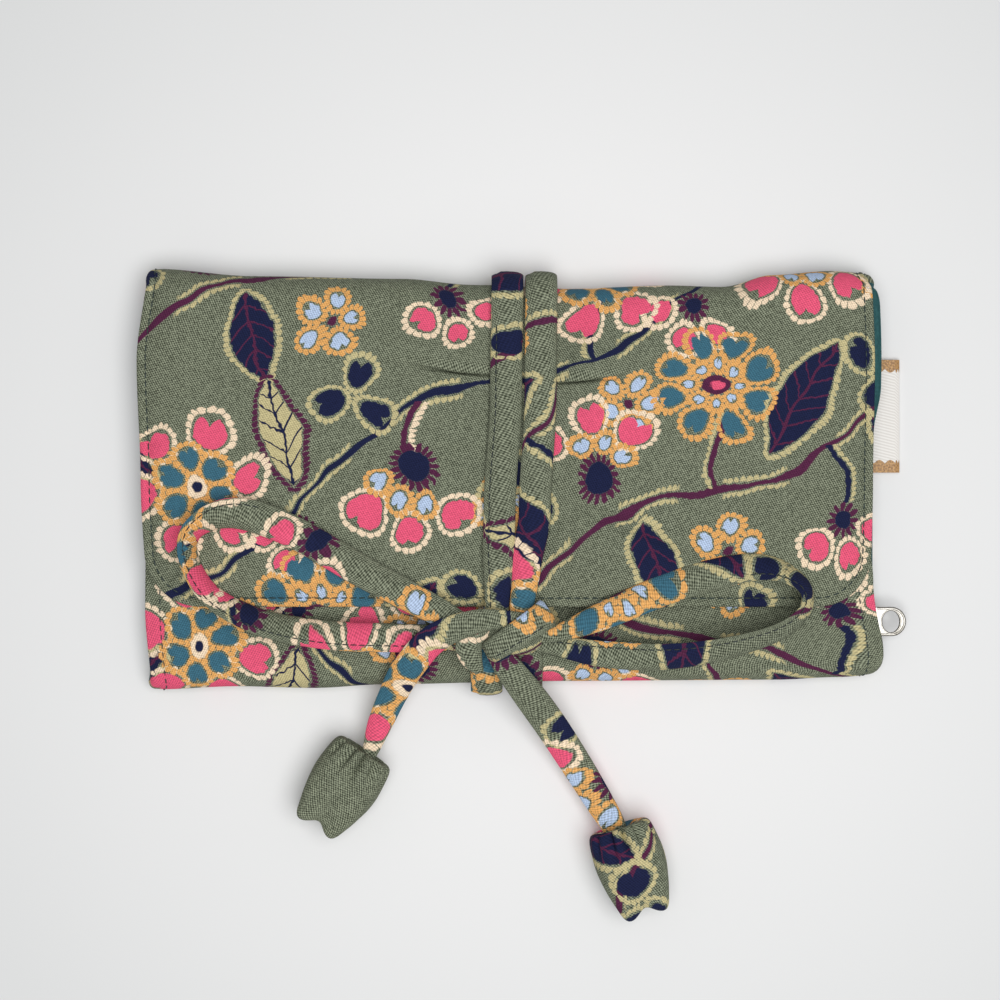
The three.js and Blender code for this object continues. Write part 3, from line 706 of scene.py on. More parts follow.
def add_zip_tapes(looks):
    """Woven tapes on each side of the teeth, with a corded inner edge."""
    half = HALF - 7
    for name, sign in (("zip_tape_upper", 1), ("zip_tape_lower", -1)):
        across = [TAPE_INNER, TAPE_INNER + 0.3, TAPE_INNER + 0.9, TAPE_INNER + 1.3, 5.5, 7.5, TAPE_OUTER]
        bulge = [0.0, 0.16, 0.16, 0.0, 0.0, 0.0, 0.0]
        xs = steps(-half, half, 5)
        shape = Shape()
        rows = []
        for a, lift in zip(across, bulge):
            rows.append([placed(x, ZIP_LINE + sign * a, ZIP_LEVEL - 0.18 - lift) for x in xs])
        shape.sheet(rows, [[(x, sign * a) for x in xs] for a in across], 0.36, flip=sign > 0)
        piece = shape.object(name + "_cloth", [looks["tape"]])
        settle(piece, "zip_tape", "pocket", name)


# Tie


class Station:
    """One place along a strap: its middle, the direction to its left edge and its size."""

    def __init__(self, point, side, width, thickness):
        self.point = point
        self.side = side
        self.width = width
        self.thickness = thickness


def strap_frames(stations):
    """Adds the direction along, the squared side and the upward direction to each station."""
    for i, station in enumerate(stations):
        before = stations[max(i - 1, 0)].point
        after = stations[min(i + 1, len(stations) - 1)].point
        station.along = (after - before).normalized()
        side = station.side - station.along * station.side.dot(station.along)
        station.side = side.normalized()
        station.up = station.along.cross(station.side)
    travelled = 0.0
    for i, station in enumerate(stations):
        if i:
            travelled += (station.point - stations[i - 1].point).length
        station.run = travelled


def strap_depth(across, width, thickness, crease=0.0):
    """Half thickness at a place across: full in the middle, pinched at the sewn edge and in a crease."""
    t = clamp(abs(2 * across / width))
    body = (1 - t ** 2.3) ** 0.5
    sewn = lerp(0.5, 1.0, smooth((across + width / 2) / 3.2))
    groove = 0.16 * bell(across + width / 2 - STRAP_SEAM, 0.5)
    return thickness / 2 * body * sewn - groove - crease * bell(across - 0.12 * width, 0.8)


def add_strap(name, stations, print_at, looks, seed, stitched=None, crease=0.0):
    """Flat sewn strap. Its right edge, seen along its run, has stitches between two shares of its length."""
    strap_frames(stations)
    shape = Shape()
    rings = []
    flat = []
    for station in stations:
        ring = []
        for k in range(SECTION_POINTS):
            t = math.tau * k / SECTION_POINTS
            across = station.width / 2 * math.copysign(abs(math.cos(t)) ** 0.75, math.cos(t))
            half = strap_depth(across, station.width, station.thickness, crease)
            depth = math.copysign(max(half, 0.12), math.sin(t))
            if abs(math.sin(t)) < 1e-6:
                depth = 0.0
            crumple = 0.16 * ripple(station.run / 4.5, across / 4 + (5 if depth < 0 else 0), seed)
            ring.append(world(station.point + (station.side * across + station.up * (depth + crumple))))
        rings.append(ring)
        around = [2.1 * station.width * k / SECTION_POINTS for k in range(SECTION_POINTS + 1)]
        flat.append([(print_at[0] + station.run, print_at[1] + a) for a in around])
    shape.tube(rings, flat)
    if stitched:
        sew_strap(shape, stations, [share * stations[-1].run for share in stitched])
    return shape.object(name, [looks["print"], looks["dark_thread"]])


def sew_strap(shape, stations, ends):
    """Stitches beside the sewn edge of a strap."""
    line = []
    for station in stations:
        if ends[0] <= station.run <= ends[1]:
            across = STRAP_SEAM - station.width / 2
            lift = strap_depth(across, station.width, station.thickness) + 0.08
            line.append((world(station.point + station.side * across + station.up * lift), station.up))
    sew(shape, line, 1, pitch=2.5, length=1.95, radius=0.19)


def catmull(a, b, c, d, t):
    bend = 2 * a - 5 * b + 4 * c - d
    return 0.5 * (2 * b + (c - a) * t + bend * t * t + (3 * b - a - 3 * c + d) * t ** 3)


def along_rows(rows, place):
    """Smooth row of numbers at a place from 0 to 1 along a list of rows."""
    spans = len(rows) - 1
    i = min(int(place * spans), spans - 1)
    t = place * spans - i
    picked = [rows[max(i - 1, 0)], rows[i], rows[i + 1], rows[min(i + 2, spans)]]
    return [catmull(*numbers, t) for numbers in zip(*picked)]


def ribbon(rows, size=1.1):
    """Stations through rows of (x, y, z, tilt in degrees, width). Tilt lifts the left edge."""
    length = sum((Vector(a[:3]) - Vector(b[:3])).length for a, b in zip(rows, rows[1:]))
    count = round(length / size)
    found = []
    for k in range(count + 1):
        place = k / count
        x, y, z, tilt, width = along_rows(rows, place)
        ahead = along_rows(rows, min(place + 0.002, 1.0))
        behind = along_rows(rows, max(place - 0.002, 0.0))
        along = Vector(ahead[:3]) - Vector(behind[:3])
        left = Vector((-along.y, along.x, 0)).normalized()
        angle = math.radians(tilt)
        side = left * math.cos(angle) + Vector((0, 0, math.sin(angle)))
        found.append(Station(Vector((x, y, z)), side, width, STRAP_THICKNESS))
    return found


# Middle lines of the loose lengths of the tie: rows as in ribbon
LOOP_ROWS = {
    "left": [
        (-4.0, -46.6, 20.0, 0, 4.6), (-12, -44.4, 20.6, 0, 5.8), (-24, -38.5, 21.2, 8, 8.6),
        (-44, -28, 20.4, 12, 9.6), (-66, -15.5, 20.2, 8, 9.6), (-83, -10.2, 20.6, -18, 9.6),
        (-94.5, -14.5, 22.0, -52, 9.6), (-96.5, -23, 22.4, -60, 9.6), (-90, -34.5, 22.0, -52, 9.6),
        (-76, -42.4, 20.8, -40, 9.6), (-58, -46.4, 18.9, -30, 9.6), (-36, -47.6, 17.6, -15, 8.8),
        (-13, -47.6, 17.4, 0, 7.4), (-4, -47.4, 17.6, 0, 6.0),
    ],
    "right": [
        (4.0, -46.8, 20.2, 0, 4.0), (13, -46.2, 20.8, -4, 4.8), (26, -41.4, 21.2, -10, 8.2),
        (46, -33, 20.6, -16, 9.6), (64, -27.6, 20.6, -24, 9.6), (77, -26.6, 21.6, -42, 9.6),
        (86.5, -31.5, 22.4, -62, 9.6), (87.5, -38.5, 22.4, -64, 9.6), (80, -45.4, 21.4, -56, 9.6),
        (64, -50.6, 19.8, -46, 9.6), (46, -53.2, 18.6, -34, 9.6), (28, -52.6, 17.6, -16, 8.4),
        (13, -50, 17.4, 0, 5.8), (4, -48.6, 17.6, 0, 4.4),
    ],
}
TAIL_ROWS = {
    "left": [
        (4.4, -42.6, 22.0, 0, 5.0), (-3, -41.9, 23.6, 0, 5.8), (-12, -42.8, 24.6, -2, 7.4),
        (-23, -47.6, 22.8, -8, 9.0), (-31, -56.6, 18.2, -10, 9.6), (-36, -65.6, 12.6, -10, 8.6),
        (-40, -74.6, 9.4, -4, 7.4), (-42.8, -82.4, 9.6, 0, 4.9), (-45.2, -86.6, 10.0, 0, 3.2),
    ],
    "right": [
        (-5.0, -50.5, 20.2, 0, 6.6), (-0.8, -56.6, 20.4, 4, 8.4), (5.4, -65.0, 17.0, 5, 9.6),
        (12.6, -75.4, 10.6, 4, 9.8), (20.6, -88, 6.4, 4, 9.4), (27, -98.4, 7.0, 4, 8.6),
        (30.6, -104.4, 8.2, 4, 7.6), (32.6, -109.6, 8.6, 4, 6.0),
    ],
}

# Bit of the tie that shows beside the knot, turned under at its lower end
TUCK_ROWS = [
    (-7.0, -43.8, 20.8, 0, 6.0), (-11.4, -46.6, 22.2, 0, 7.4), (-12.8, -50.2, 22.6, 0, 8.0),
    (-11.6, -54.4, 21.4, 0, 6.2), (-9.6, -57.6, 19.0, 0, 2.8),
]


def add_loose(name, rows, print_at, looks, seed, stitched=None, **ends):
    """A loose length of the tie, a strap along its middle line."""
    stations = ribbon(rows)
    piece = add_strap(name + "_strap", stations, print_at, looks, seed, stitched)
    settle(piece, "printed_cotton", "flap", name)
    path = [world(station.point) for station in stations]
    length = sum((b - a).length for a, b in zip(path, path[1:]))
    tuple(path[0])


def add_bow(looks, tulips):
    """The two tails, which end in the tulips, and the two loops."""
    for side, print_at in (("left", (-23, 104)), ("right", (330, 110))):
        add_loose("tie_tail_" + side, TAIL_ROWS[side], print_at, looks, 17.0, far_end="fitting",
                  with_pieces=[tulips[side]])
    for side, print_at in (("left", (40, 300)), ("right", (150, 420))):
        add_loose("bow_loop_" + side, LOOP_ROWS[side], print_at, looks, 11.0, (0.38, 0.98), far_end="object")


def strap_surface(side, y):
    """Middle of a front strap: on the dented flap, lifted where it climbs to the knot."""
    x = through(STRAP_FRONT[side], y)
    level = FLAP_RIM + FLAP_PUFF - STRAP_DENT + STRAP_GAP + STRAP_THICKNESS / 2
    climb = 1.6 * rise((-20 - y) / 20, 1)
    return Vector((x, y, level + 0.25 + climb))


ACROSS = Vector((1, 0, 0))


def wrap_stations(side, ys):
    """A strap pressed flat under the back."""
    return [Station(Vector((wrap_x(side, y), y, PRESSED_STRAP / 2)), ACROSS, STRAP_WIDTH, PRESSED_STRAP)
            for y in ys]


def fold_stations(x, fold, reach, level, start):
    """A strap round a fold, between the table and a level: from one angle on the fold to its opposite."""
    found = []
    for angle in steps(start, -start, FOLD_TURN)[1:]:
        y, z = arc(fold, reach, PRESSED_STRAP / 2, level, angle)
        thick = lerp(PRESSED_STRAP, STRAP_THICKNESS, smooth(angle + 1.5))
        found.append(Station(Vector((x, y, z)), ACROSS, STRAP_WIDTH, thick))
    return found


def add_front_strap(side, print_at, looks, stitched):
    """Over the top fold and down the front to the knot."""
    stations = wrap_stations(side, steps(0, TOP_FOLD, WRAP_STEP))
    level = strap_surface(side, TOP_FOLD).z
    stations += fold_stations(STRAP_TOP[side], TOP_FOLD, 7.9, level, -math.pi / 2)
    for y in steps(TOP_FOLD, -39.8, STRAP_STEP)[1:]:
        width = STRAP_WIDTH - 2.6 * smooth((-18 - y) / 24)
        stations.append(Station(strap_surface(side, y), ACROSS, width, STRAP_THICKNESS))
    piece = add_strap("tie_" + side + "_strap", stations, print_at, looks, 23.0, stitched)
    settle(piece, "printed_cotton", "flap", "tie_front_" + side, bend=TOP_COVER_BEND)


def add_lower_strap(side, print_at, looks, reach):
    """From under the knot, round the bottom fold and under the back."""
    x = STRAP_BOTTOM[side]
    level = 14.2
    stations = [Station(Vector((x, y, level)), ACROSS, STRAP_WIDTH, STRAP_THICKNESS)
                for y in steps(-48, BOTTOM_FOLD, STRAP_STEP)]
    stations += fold_stations(x, BOTTOM_FOLD, -reach, level, math.pi / 2)
    stations += wrap_stations(side, steps(BOTTOM_FOLD, 0, WRAP_STEP)[1:])
    piece = add_strap("tie_" + side + "_lower_strap", stations, print_at, looks, 29.0)
    settle(piece, "printed_cotton", "pocket", "tie_wrap_" + side, bend=BOTTOM_STRAP_BEND)


def add_straps(looks):
    add_front_strap("left", (20, 200), looks, (0.5, 1.0))
    add_lower_strap("left", (60, 330), looks, 8.2)
    add_front_strap("right", (95, 250), looks, None)
    add_lower_strap("right", (135, 380), looks, 6.6)


def knot_skin(polar, turn):
    """A point of the knot's packed core, whose cloth is creased."""
    round_it = math.sin(polar)
    unit = Vector((math.cos(polar), round_it * math.cos(turn), round_it * math.sin(turn)))
    crease = 1 - 0.07 * bell(math.sin(3 * turn + 2.2 * unit.x), 0.35) + 0.04 * noise.noise(unit * 2.1)
    axes = zip(KNOT, unit, KNOT_HALF, (MIDDLE_X, 0, 0))
    return Vector([(at + out * half * crease + shift) * MM for at, out, half, shift in axes])


def add_knot_core(looks):
    core = Shape()
    rings = []
    flat = []
    count = 32
    for i in range(1, 20):
        polar = math.pi * i / 20
        rings.append([knot_skin(polar, math.tau * k / count) for k in range(count)])
        flat.append([(60 + KNOT_HALF[0] * polar, 20 + KNOT_HALF[1] * math.tau * k / count)
                     for k in range(count + 1)])
    core.tube(rings, flat)
    piece = core.object("knot_core_cloth", [looks["print"]])
    settle(piece, "printed_cotton", "flap", "knot_core")


def add_knot_band(looks):
    """The strap that arches over the knot's core."""
    heading = math.radians(34)
    ahead = Vector((math.cos(heading), math.sin(heading), 0))
    side = Vector((-math.sin(heading), math.cos(heading), 0))
    stations = []
    for share in steps(0.06, 0.94, 0.035):
        angle = math.pi * (1 - share)
        point = Vector(KNOT) + ahead * (1.8 + 10.8 * math.cos(angle))
        point.z += 6.0 * math.sin(angle)
        stations.append(Station(point, side, lerp(6.8, 9.2, share), STRAP_THICKNESS))
    piece = add_strap("knot_band_strap", stations, (14, 66), looks, 31.0, (0.1, 0.9), crease=0.75)
    settle(piece, "printed_cotton", "flap", "knot_band")


def add_knot_tuck(looks):
    """The turned end of the tie beside the knot."""
    piece = add_strap("knot_tuck_strap", ribbon(TUCK_ROWS), (88, 84), looks, 37.0)
    settle(piece, "printed_cotton", "flap")


# Buds: neck, mouth and width
TULIPS = {
    "left": ((-44.6, -83.0), (-58.8, -104.2), 21.4),
    "right": ((32.6, -105.8), (40.8, -130.4), 21.4),
}
# Along the bud from neck to mouth: (place, fullness)
BUD = [
    (0.08, 0.22), (0.03, 0.4), (-0.01, 0.58), (-0.025, 0.75), (0.0, 0.87), (0.07, 0.94), (0.2, 0.98),
    (0.4, 1.0), (0.58, 0.98), (0.74, 0.91), (0.87, 0.81), (0.96, 0.72), (1.0, 0.6), (0.98, 0.4), (0.92, 0.08),
]
# Gathers at the bud's neck: (degrees round the bud, depth as a share of its half width, reach along the bud)
GATHERS = [
    (86, 0.4, 0.5), (60, 0.26, 0.36), (112, 0.3, 0.42), (140, 0.22, 0.3), (26, 0.2, 0.3), (215, 0.2, 0.4),
    (270, 0.24, 0.4), (325, 0.2, 0.4),
]


def gathered(turn, place):
    """How deep the gathers cut at an angle round the bud."""
    folds = 0.0
    for degrees, depth, fade in GATHERS:
        aside = math.remainder(turn - math.radians(degrees), math.tau)
        folds += depth * bell(aside, 0.09) * smooth((fade - place) / fade)
    return folds


def add_tulip(side, looks, cloth):
    """Stuffed cloth bud: gathered at its neck, its mouth pinched together to four points."""
    neck, mouth, width = TULIPS[side]
    start = Vector((neck[0], neck[1], 0))
    run = Vector((mouth[0], mouth[1], 0)) - start
    length = run.length
    along = run.normalized()
    across = Vector((-along.y, along.x, 0))
    depth = width * 0.76
    level = depth * 0.5 + 0.9
    count = 96
    rings = []
    flat = []
    travelled = 0.0
    for share in steps(0, 1, 1 / 56):
        place, full = along_rows(BUD, share)
        ring = []
        open_end = smooth((share - 0.45) / 0.4)
        for k in range(count):
            turn = math.tau * k / count
            lobe = -math.cos(4 * turn)
            reach = full * (1 + 0.1 * open_end * lobe - gathered(turn, place))
            reach += 0.03 * noise.noise(Vector((math.cos(turn) * 1.4, math.sin(turn) * 1.4, place * 2.5 + 3)))
            pinch = 0.05 * open_end * lobe
            square = 1 - 0.07 * math.sin(2 * turn) ** 2
            point = start + along * length * (place + pinch * place)
            point += across * (width / 2) * reach * math.cos(turn) / square
            point.z = level + depth / 2 * reach * math.sin(turn) / square
            ring.append(world(point))
        if rings:
            travelled += (ring[0] - rings[-1][0]).length / MM
        rings.append(ring)
        flat.append([(cloth[0] + width * 0.45 * 2 * math.pi * k / count, cloth[1] + travelled)
                     for k in range(count + 1)])
    shape = Shape()
    shape.tube(rings, flat)
    piece = shape.object("tulip_" + side + "_bud", [looks["ground" if side == "left" else "print"]])
    settle(piece, "printed_cotton", "flap", "tulip_" + side)
    return piece


def add_label(looks):
    """Folded woven label, sewn into the side seam. It carries no words."""
    low = 2.05
    high = low + LABEL_LENGTH
    inner, outer = HALF - 3.5, HALF + 8.2
    stations = []
    for y in steps(low, high, 1.2):
        bend = 0.25 * math.sin((y - low) / 9)
        point = Vector(((inner + outer) / 2, y, 1.4 + bend * 0.3))
        stations.append(Station(point, Vector((1, 0, 0.03 * bend)), outer - inner, 0.5))
    strap_frames(stations)
    shape = Shape()
    rings = []
    flat = []
    for station in stations:
        ring = []
        for k in range(12):
            t = math.tau * k / 12
            a = station.width / 2 * math.copysign(abs(math.cos(t)) ** 0.4, math.cos(t))
            b = 0.25 * math.copysign(abs(math.sin(t)) ** 0.5, math.sin(t))
            ring.append(world(station.point + station.side * a + Vector((0, 0, b))))
        rings.append(ring[::-1])
        flat.append([(station.run, k * 1.6) for k in range(13)])
    shape.tube(rings, flat)
    piece = shape.object("side_label_ribbon", [looks["satin"]])
    settle(piece, "satin", "back", "side_label")


# Materials


def ink(red, green, blue):
    """Linear colour of a colour given as 0 to 255."""
    def linear(value):
        share = value / 255
        return share / 12.92 if share <= 0.04045 else ((share + 0.055) / 1.055) ** 2.4
    return (linear(red), linear(green), linear(blue), 1.0)


PINK = ink(234, 92, 125)
CREAM = ink(244, 221, 191)
OCHRE = ink(231, 172, 102)
TEAL = ink(62, 107, 126)
SKY = ink(183, 202, 230)
NAVY = ink(28, 34, 66)
PLUM = ink(86, 38, 68)
KHAKI = ink(197, 186, 140)
OLIVE_DARK = ink(55, 61, 46)
OLIVE_LIGHT = ink(145, 151, 129)

# Twill: width of a rib, length of a yarn on its face and thickness of a yarn
TWILL_PITCH = 0.65
TWILL_FLOAT = 0.64
YARN = 0.34


class Wire:
    """The value of a node's socket, with arithmetic that adds nodes."""

    def __init__(self, graph, socket):
        self.graph = graph
        self.socket = socket

    def times(self, factor, plus):
        """This value times a factor, plus a third value."""
        return self.graph.math("MULTIPLY_ADD", self, factor, plus)

    def wrapped(self, reach):
        """This value, repeated between minus and plus the reach."""
        return self.graph.math("WRAP", self, reach, -reach)

    def sine(self):
        return self.graph.math("SINE", self)

    def root(self):
        return self.graph.math("SQRT", self)

    def __abs__(self):
        return self.graph.math("ABSOLUTE", self)

    def __add__(self, other):
        return self.graph.math("ADD", self, other)

    def __sub__(self, other):
        return self.graph.math("SUBTRACT", self, other)

    def __rsub__(self, other):
        return self.graph.math("SUBTRACT", other, self)

    def __mul__(self, other):
        return self.graph.math("MULTIPLY", self, other)

    def __truediv__(self, other):
        return self.graph.math("DIVIDE", self, other)


class Graph:
    """A new material, and the nodes that are added to it."""

    def __init__(self, name):
        self.material = bpy.data.materials.new(name)
        self.material.use_nodes = True
        self.tree = self.material.node_tree
        self.tree.nodes.clear()

    def add(self, kind, inputs=None, output=0, **settings):
        """The value that a new node gives."""
        node = self.tree.nodes.new(kind)
        for name, value in settings.items():
            setattr(node, name, value)
        for key, value in (inputs or {}).items():
            self.put(node.inputs[key], value)
        return Wire(self, node.outputs[output])

    def put(self, socket, value):
        if isinstance(value, Wire):
            self.tree.links.new(value.socket, socket)
        else:
            socket.default_value = value

    def math(self, operation, *values):
        return self.add("ShaderNodeMath", dict(enumerate(values)), operation=operation)

    def ramp(self, value, low, high):
        """0 at low, 1 at high, held outside."""
        return self.add("ShaderNodeMapRange", {"Value": value, "From Min": low, "From Max": high})

    def mix(self, share, low, high, blend="MIX"):
        return self.add("ShaderNodeMix", {0: share, 6: low, 7: high}, 2, data_type="RGBA", blend_type=blend)

    def noise(self, vector, scale, detail=1.0, roughness=0.5):
        inputs = {"Vector": vector, "Scale": scale, "Detail": detail, "Roughness": roughness}
        return self.add("ShaderNodeTexNoise", inputs, "Fac", noise_dimensions="2D")

    def cloth_place(self):
        """Flat cloth coordinates in millimetres: the vector, and its two numbers."""
        place = self.add("ShaderNodeUVMap", uv_map="cloth")
        return place, *(self.add("ShaderNodeSeparateXYZ", {0: place}, axis) for axis in "XY")

    def object_place(self):
        return self.add("ShaderNodeTexCoord", output="Object")

    def stretched(self, place, x_scale, y_scale):
        return self.add("ShaderNodeVectorMath", {0: place, 1: (x_scale, y_scale, 1.0)}, operation="MULTIPLY")

    def grain(self, scale, x_scale=1.0, detail=2.0):
        """Fine noise that is fixed to the piece."""
        place = self.stretched(self.object_place(), x_scale, 1.0)
        return self.add("ShaderNodeTexNoise", {"Vector": place, "Scale": scale, "Detail": detail}, "Fac")

    def bump(self, height, distance):
        return self.add("ShaderNodeBump", {"Height": height, "Distance": distance * MM, "Strength": 1.0})

    def surface(self, **inputs):
        """Closes the material, whose inputs are named with _ for a space."""
        shader = self.add("ShaderNodeBsdfPrincipled", {key.replace("_", " "): v for key, v in inputs.items()})
        output = self.tree.nodes.new("ShaderNodeOutputMaterial")
        self.put(output.inputs[0], shader)
        return self.material


# The print repeats with each column of it dropped by half a height. Dabs of the brush border its motifs.
REPEAT_WIDTH = 120.0
REPEAT_HEIGHT = 140.0
DAB_LENGTH = 2.1
DAB_GAP = (0.3, 0.45)
STEM_DABS = 1.9


def dabs(angle):
    """Round brush dabs: 1 in the middle of each, 0 in the narrow gaps."""
    return abs(angle.sine()).root()


class Print:
    """Paints a generic floral pattern over the ground cloth, motif by motif."""

    def __init__(self, graph, place, x, y, ground):
        self.graph = graph
        self.colour = ground
        wander = graph.noise(place, 0.07)
        wander_too = graph.noise(graph.stretched(place, -1.0, 1.0), 0.06)
        ragged = graph.noise(place, 0.7, 0.0)
        self.x = x + (wander - 0.5) * 5.0 + (ragged - 0.5) * 0.7
        self.y = y + (wander_too - 0.5) * 5.0 + (ragged - 0.5) * 0.7

    def spread(self, mask, colour):
        self.colour = self.graph.mix(mask, self.colour, colour)

    def local(self, centre, turn):
        """Coordinates from the nearest repeat of a motif, along and across its own direction."""
        right = self.x - centre[0]
        up = self.y - centre[1]
        column = self.graph.math("ROUND", right * (1 / REPEAT_WIDTH))
        right = column.times(-REPEAT_WIDTH, right)
        up = column.times(-REPEAT_HEIGHT / 2, up).wrapped(REPEAT_HEIGHT / 2)
        cosine = math.cos(math.radians(turn))
        sine = math.sin(math.radians(turn))
        return right.times(cosine, up * sine), right.times(-sine, up * cosine)

    def around(self, centre, turn):
        """Distance and angle from the middle of the nearest repeat of a motif."""
        along, across = self.local(centre, turn)
        return along.times(along, across * across).root(), self.graph.math("ARCTAN2", across, along)

    def petals(self, polar, count, distance, size, beads, core, rim, turn=0.0, fan=None):
        """A ring of notched petals, each with a border of dabs. A fan keeps only the angles within it."""
        g = self.graph
        radius, angle = polar
        angle = angle + math.radians(turn)
        folded = angle.wrapped(math.pi / count)
        out = radius.times(g.math("COSINE", folded), -distance) * (1 / size[0])
        side = radius * folded.sine() / out.times(0.24 * size[1], size[1])
        far = out.times(out, side * side).root()
        round_it = g.math("ARCTAN2", side, out)
        dab = dabs(round_it * beads)
        inner = 1 - DAB_LENGTH / size[0]
        tip = dab.times((1 - inner) * 0.5, lerp(inner, 1, 0.5))
        rim_mask = g.ramp(tip - far, 0.0, 0.05) * g.ramp(far, inner, inner + 0.04) * g.ramp(dab, *DAB_GAP)
        notch = g.ramp(abs(round_it), 0.42, 0.0)
        core_mask = g.ramp(far + notch * 0.34, inner - 0.07, inner - 0.12)
        if fan is not None:
            kept = g.ramp(abs(angle), math.radians(fan), math.radians(fan - 2))
            rim_mask = rim_mask * kept
            core_mask = core_mask * kept
        self.spread(core_mask, core)
        self.spread(rim_mask, rim)

    def disc(self, polar, size, colour):
        self.spread(self.graph.ramp(polar[0], size, size - 0.4), colour)

    def fringe(self, polar, inner, outer, rays, colour):
        """Short rays round a middle."""
        g = self.graph
        reach = dabs(polar[1] * (rays / 2)).times(outer - inner + 1.5, inner - 1.5)
        self.spread(g.ramp(reach - polar[0], 0.0, 0.35) * g.ramp(polar[0], inner - 0.4, inner), colour)

    def leaf(self, centre, turn, length, width, core, rim, vein):
        """Pointed leaf with ribs and a border of dabs."""
        g = self.graph
        along, across = self.local(centre, turn)
        t = along * (1 / length)
        side = abs(across)
        edge = side - (t * t).times(-width, width)
        dab = dabs(along * STEM_DABS)
        tip = dab.times(DAB_LENGTH * 0.6, DAB_LENGTH * 0.4)
        rim_mask = g.ramp(tip - edge, 0.0, 0.3) * g.ramp(edge, -0.1, 0.2) * g.ramp(dab, *DAB_GAP)
        core_mask = g.ramp(edge, -0.4, -0.7)
        rib = abs((along - side * 0.9).wrapped(2.6))
        veins = g.math("MAXIMUM", g.ramp(rib, 0.42, 0.25), g.ramp(side, 0.5, 0.3))
        self.spread(rim_mask * g.ramp(abs(t), 1.06, 1.03), rim)
        self.spread(core_mask, core)
        self.spread(veins * core_mask, vein)

    def vine(self, start, sway, thick, core, rim):
        """A stem that climbs half a repeat with each column."""
        g = self.graph
        climb = REPEAT_HEIGHT / 2 / REPEAT_WIDTH
        wave = (self.x * (math.tau / REPEAT_WIDTH)).sine()
        line = wave.times(-sway, self.y - self.x * climb) - start
        off = abs(line.wrapped(REPEAT_HEIGHT / 2)) * math.cos(math.atan(climb))
        beside = off - (self.x * 0.23).sine().times(thick * 0.3, thick)
        dab = dabs(self.x * 1.7)
        tip = dab.times(DAB_LENGTH * 0.6, DAB_LENGTH * 0.3)
        shown = g.ramp((self.x * 0.19).sine(), -0.3, -0.1) * g.ramp(dab, *DAB_GAP)
        self.spread(g.ramp(tip - beside, 0.0, 0.3) * g.ramp(beside, 0.2, 0.5) * shown, rim)
        self.spread(g.ramp(beside, 0.0, -0.3), core)

    def stalk(self, foot, turn, length, bend, core, rim):
        """A bent stem from a vine to a flower, with dabs on one side."""
        g = self.graph
        angle = math.radians(turn)
        centre = (foot[0] + length / 2 * math.cos(angle), foot[1] + length / 2 * math.sin(angle))
        along, across = self.local(centre, turn)
        t = along * (2 / length)
        off = across - (t * t).times(-bend, bend)
        within = g.ramp(abs(t), 1.02, 1.0)
        dab = dabs(along * STEM_DABS)
        tip = dab.times(DAB_LENGTH * 0.6, 1.0 + DAB_LENGTH * 0.3)
        rim_mask = g.ramp(tip - off, 0.0, 0.3) * g.ramp(off, 1.1, 1.4) * g.ramp(dab, *DAB_GAP)
        self.spread(rim_mask * within, rim)
        self.spread(g.ramp(abs(off), 0.95, 0.7) * within, core)

    def rosette(self, centre, turn):
        """Open flower: pink outer petals, blue inner ones."""
        polar = self.around(centre, turn)
        self.petals(polar, 6, 16.4, (7.6, 7.4), 10, PINK, CREAM)
        self.petals(polar, 6, 8.0, (5.8, 5.2), 8, TEAL, OCHRE, turn=30)
        self.disc(polar, 3.6, CREAM)
        self.disc(polar, 1.9, NAVY)

    def carnation(self, centre, turn):
        """Flower seen from the side: a fan of petals on a fringed cup."""
        polar = self.around(centre, turn)
        self.petals(polar, 8, 19.0, (7.6, 6.8), 9, PINK, CREAM, fan=67)
        self.petals(polar, 9, 10.8, (5.0, 4.3), 7, SKY, OCHRE, turn=20, fan=60)
        self.fringe(polar, 4.2, 7.0, 18, PLUM)
        self.disc(polar, 4.3, NAVY)

    def aster(self, centre, turn):
        polar = self.around(centre, turn)
        self.petals(polar, 8, 14.0, (6.6, 5.6), 9, TEAL, OCHRE)
        self.petals(polar, 8, 7.2, (4.0, 3.2), 6, SKY, OCHRE, turn=22.5)
        self.disc(polar, 3.8, PLUM)
        self.disc(polar, 2.0, PINK)

    def blossom(self, centre, turn):
        polar = self.around(centre, turn)
        self.petals(polar, 5, 6.6, (4.9, 4.4), 7, SKY, OCHRE)
        self.disc(polar, 1.6, PLUM)

    def sprig(self, centre, turn):
        """Three small leaves."""
        polar = self.around(centre, turn)
        self.petals(polar, 3, 7.4, (7.2, 5.8), 9, NAVY, KHAKI)

    def bud(self, centre, turn):
        polar = self.around(centre, turn)
        self.petals(polar, 6, 11.0, (6.4, 5.8), 8, PINK, CREAM, fan=88)
        self.fringe(polar, 2.8, 5.6, 12, PLUM)
        self.disc(polar, 2.9, NAVY)


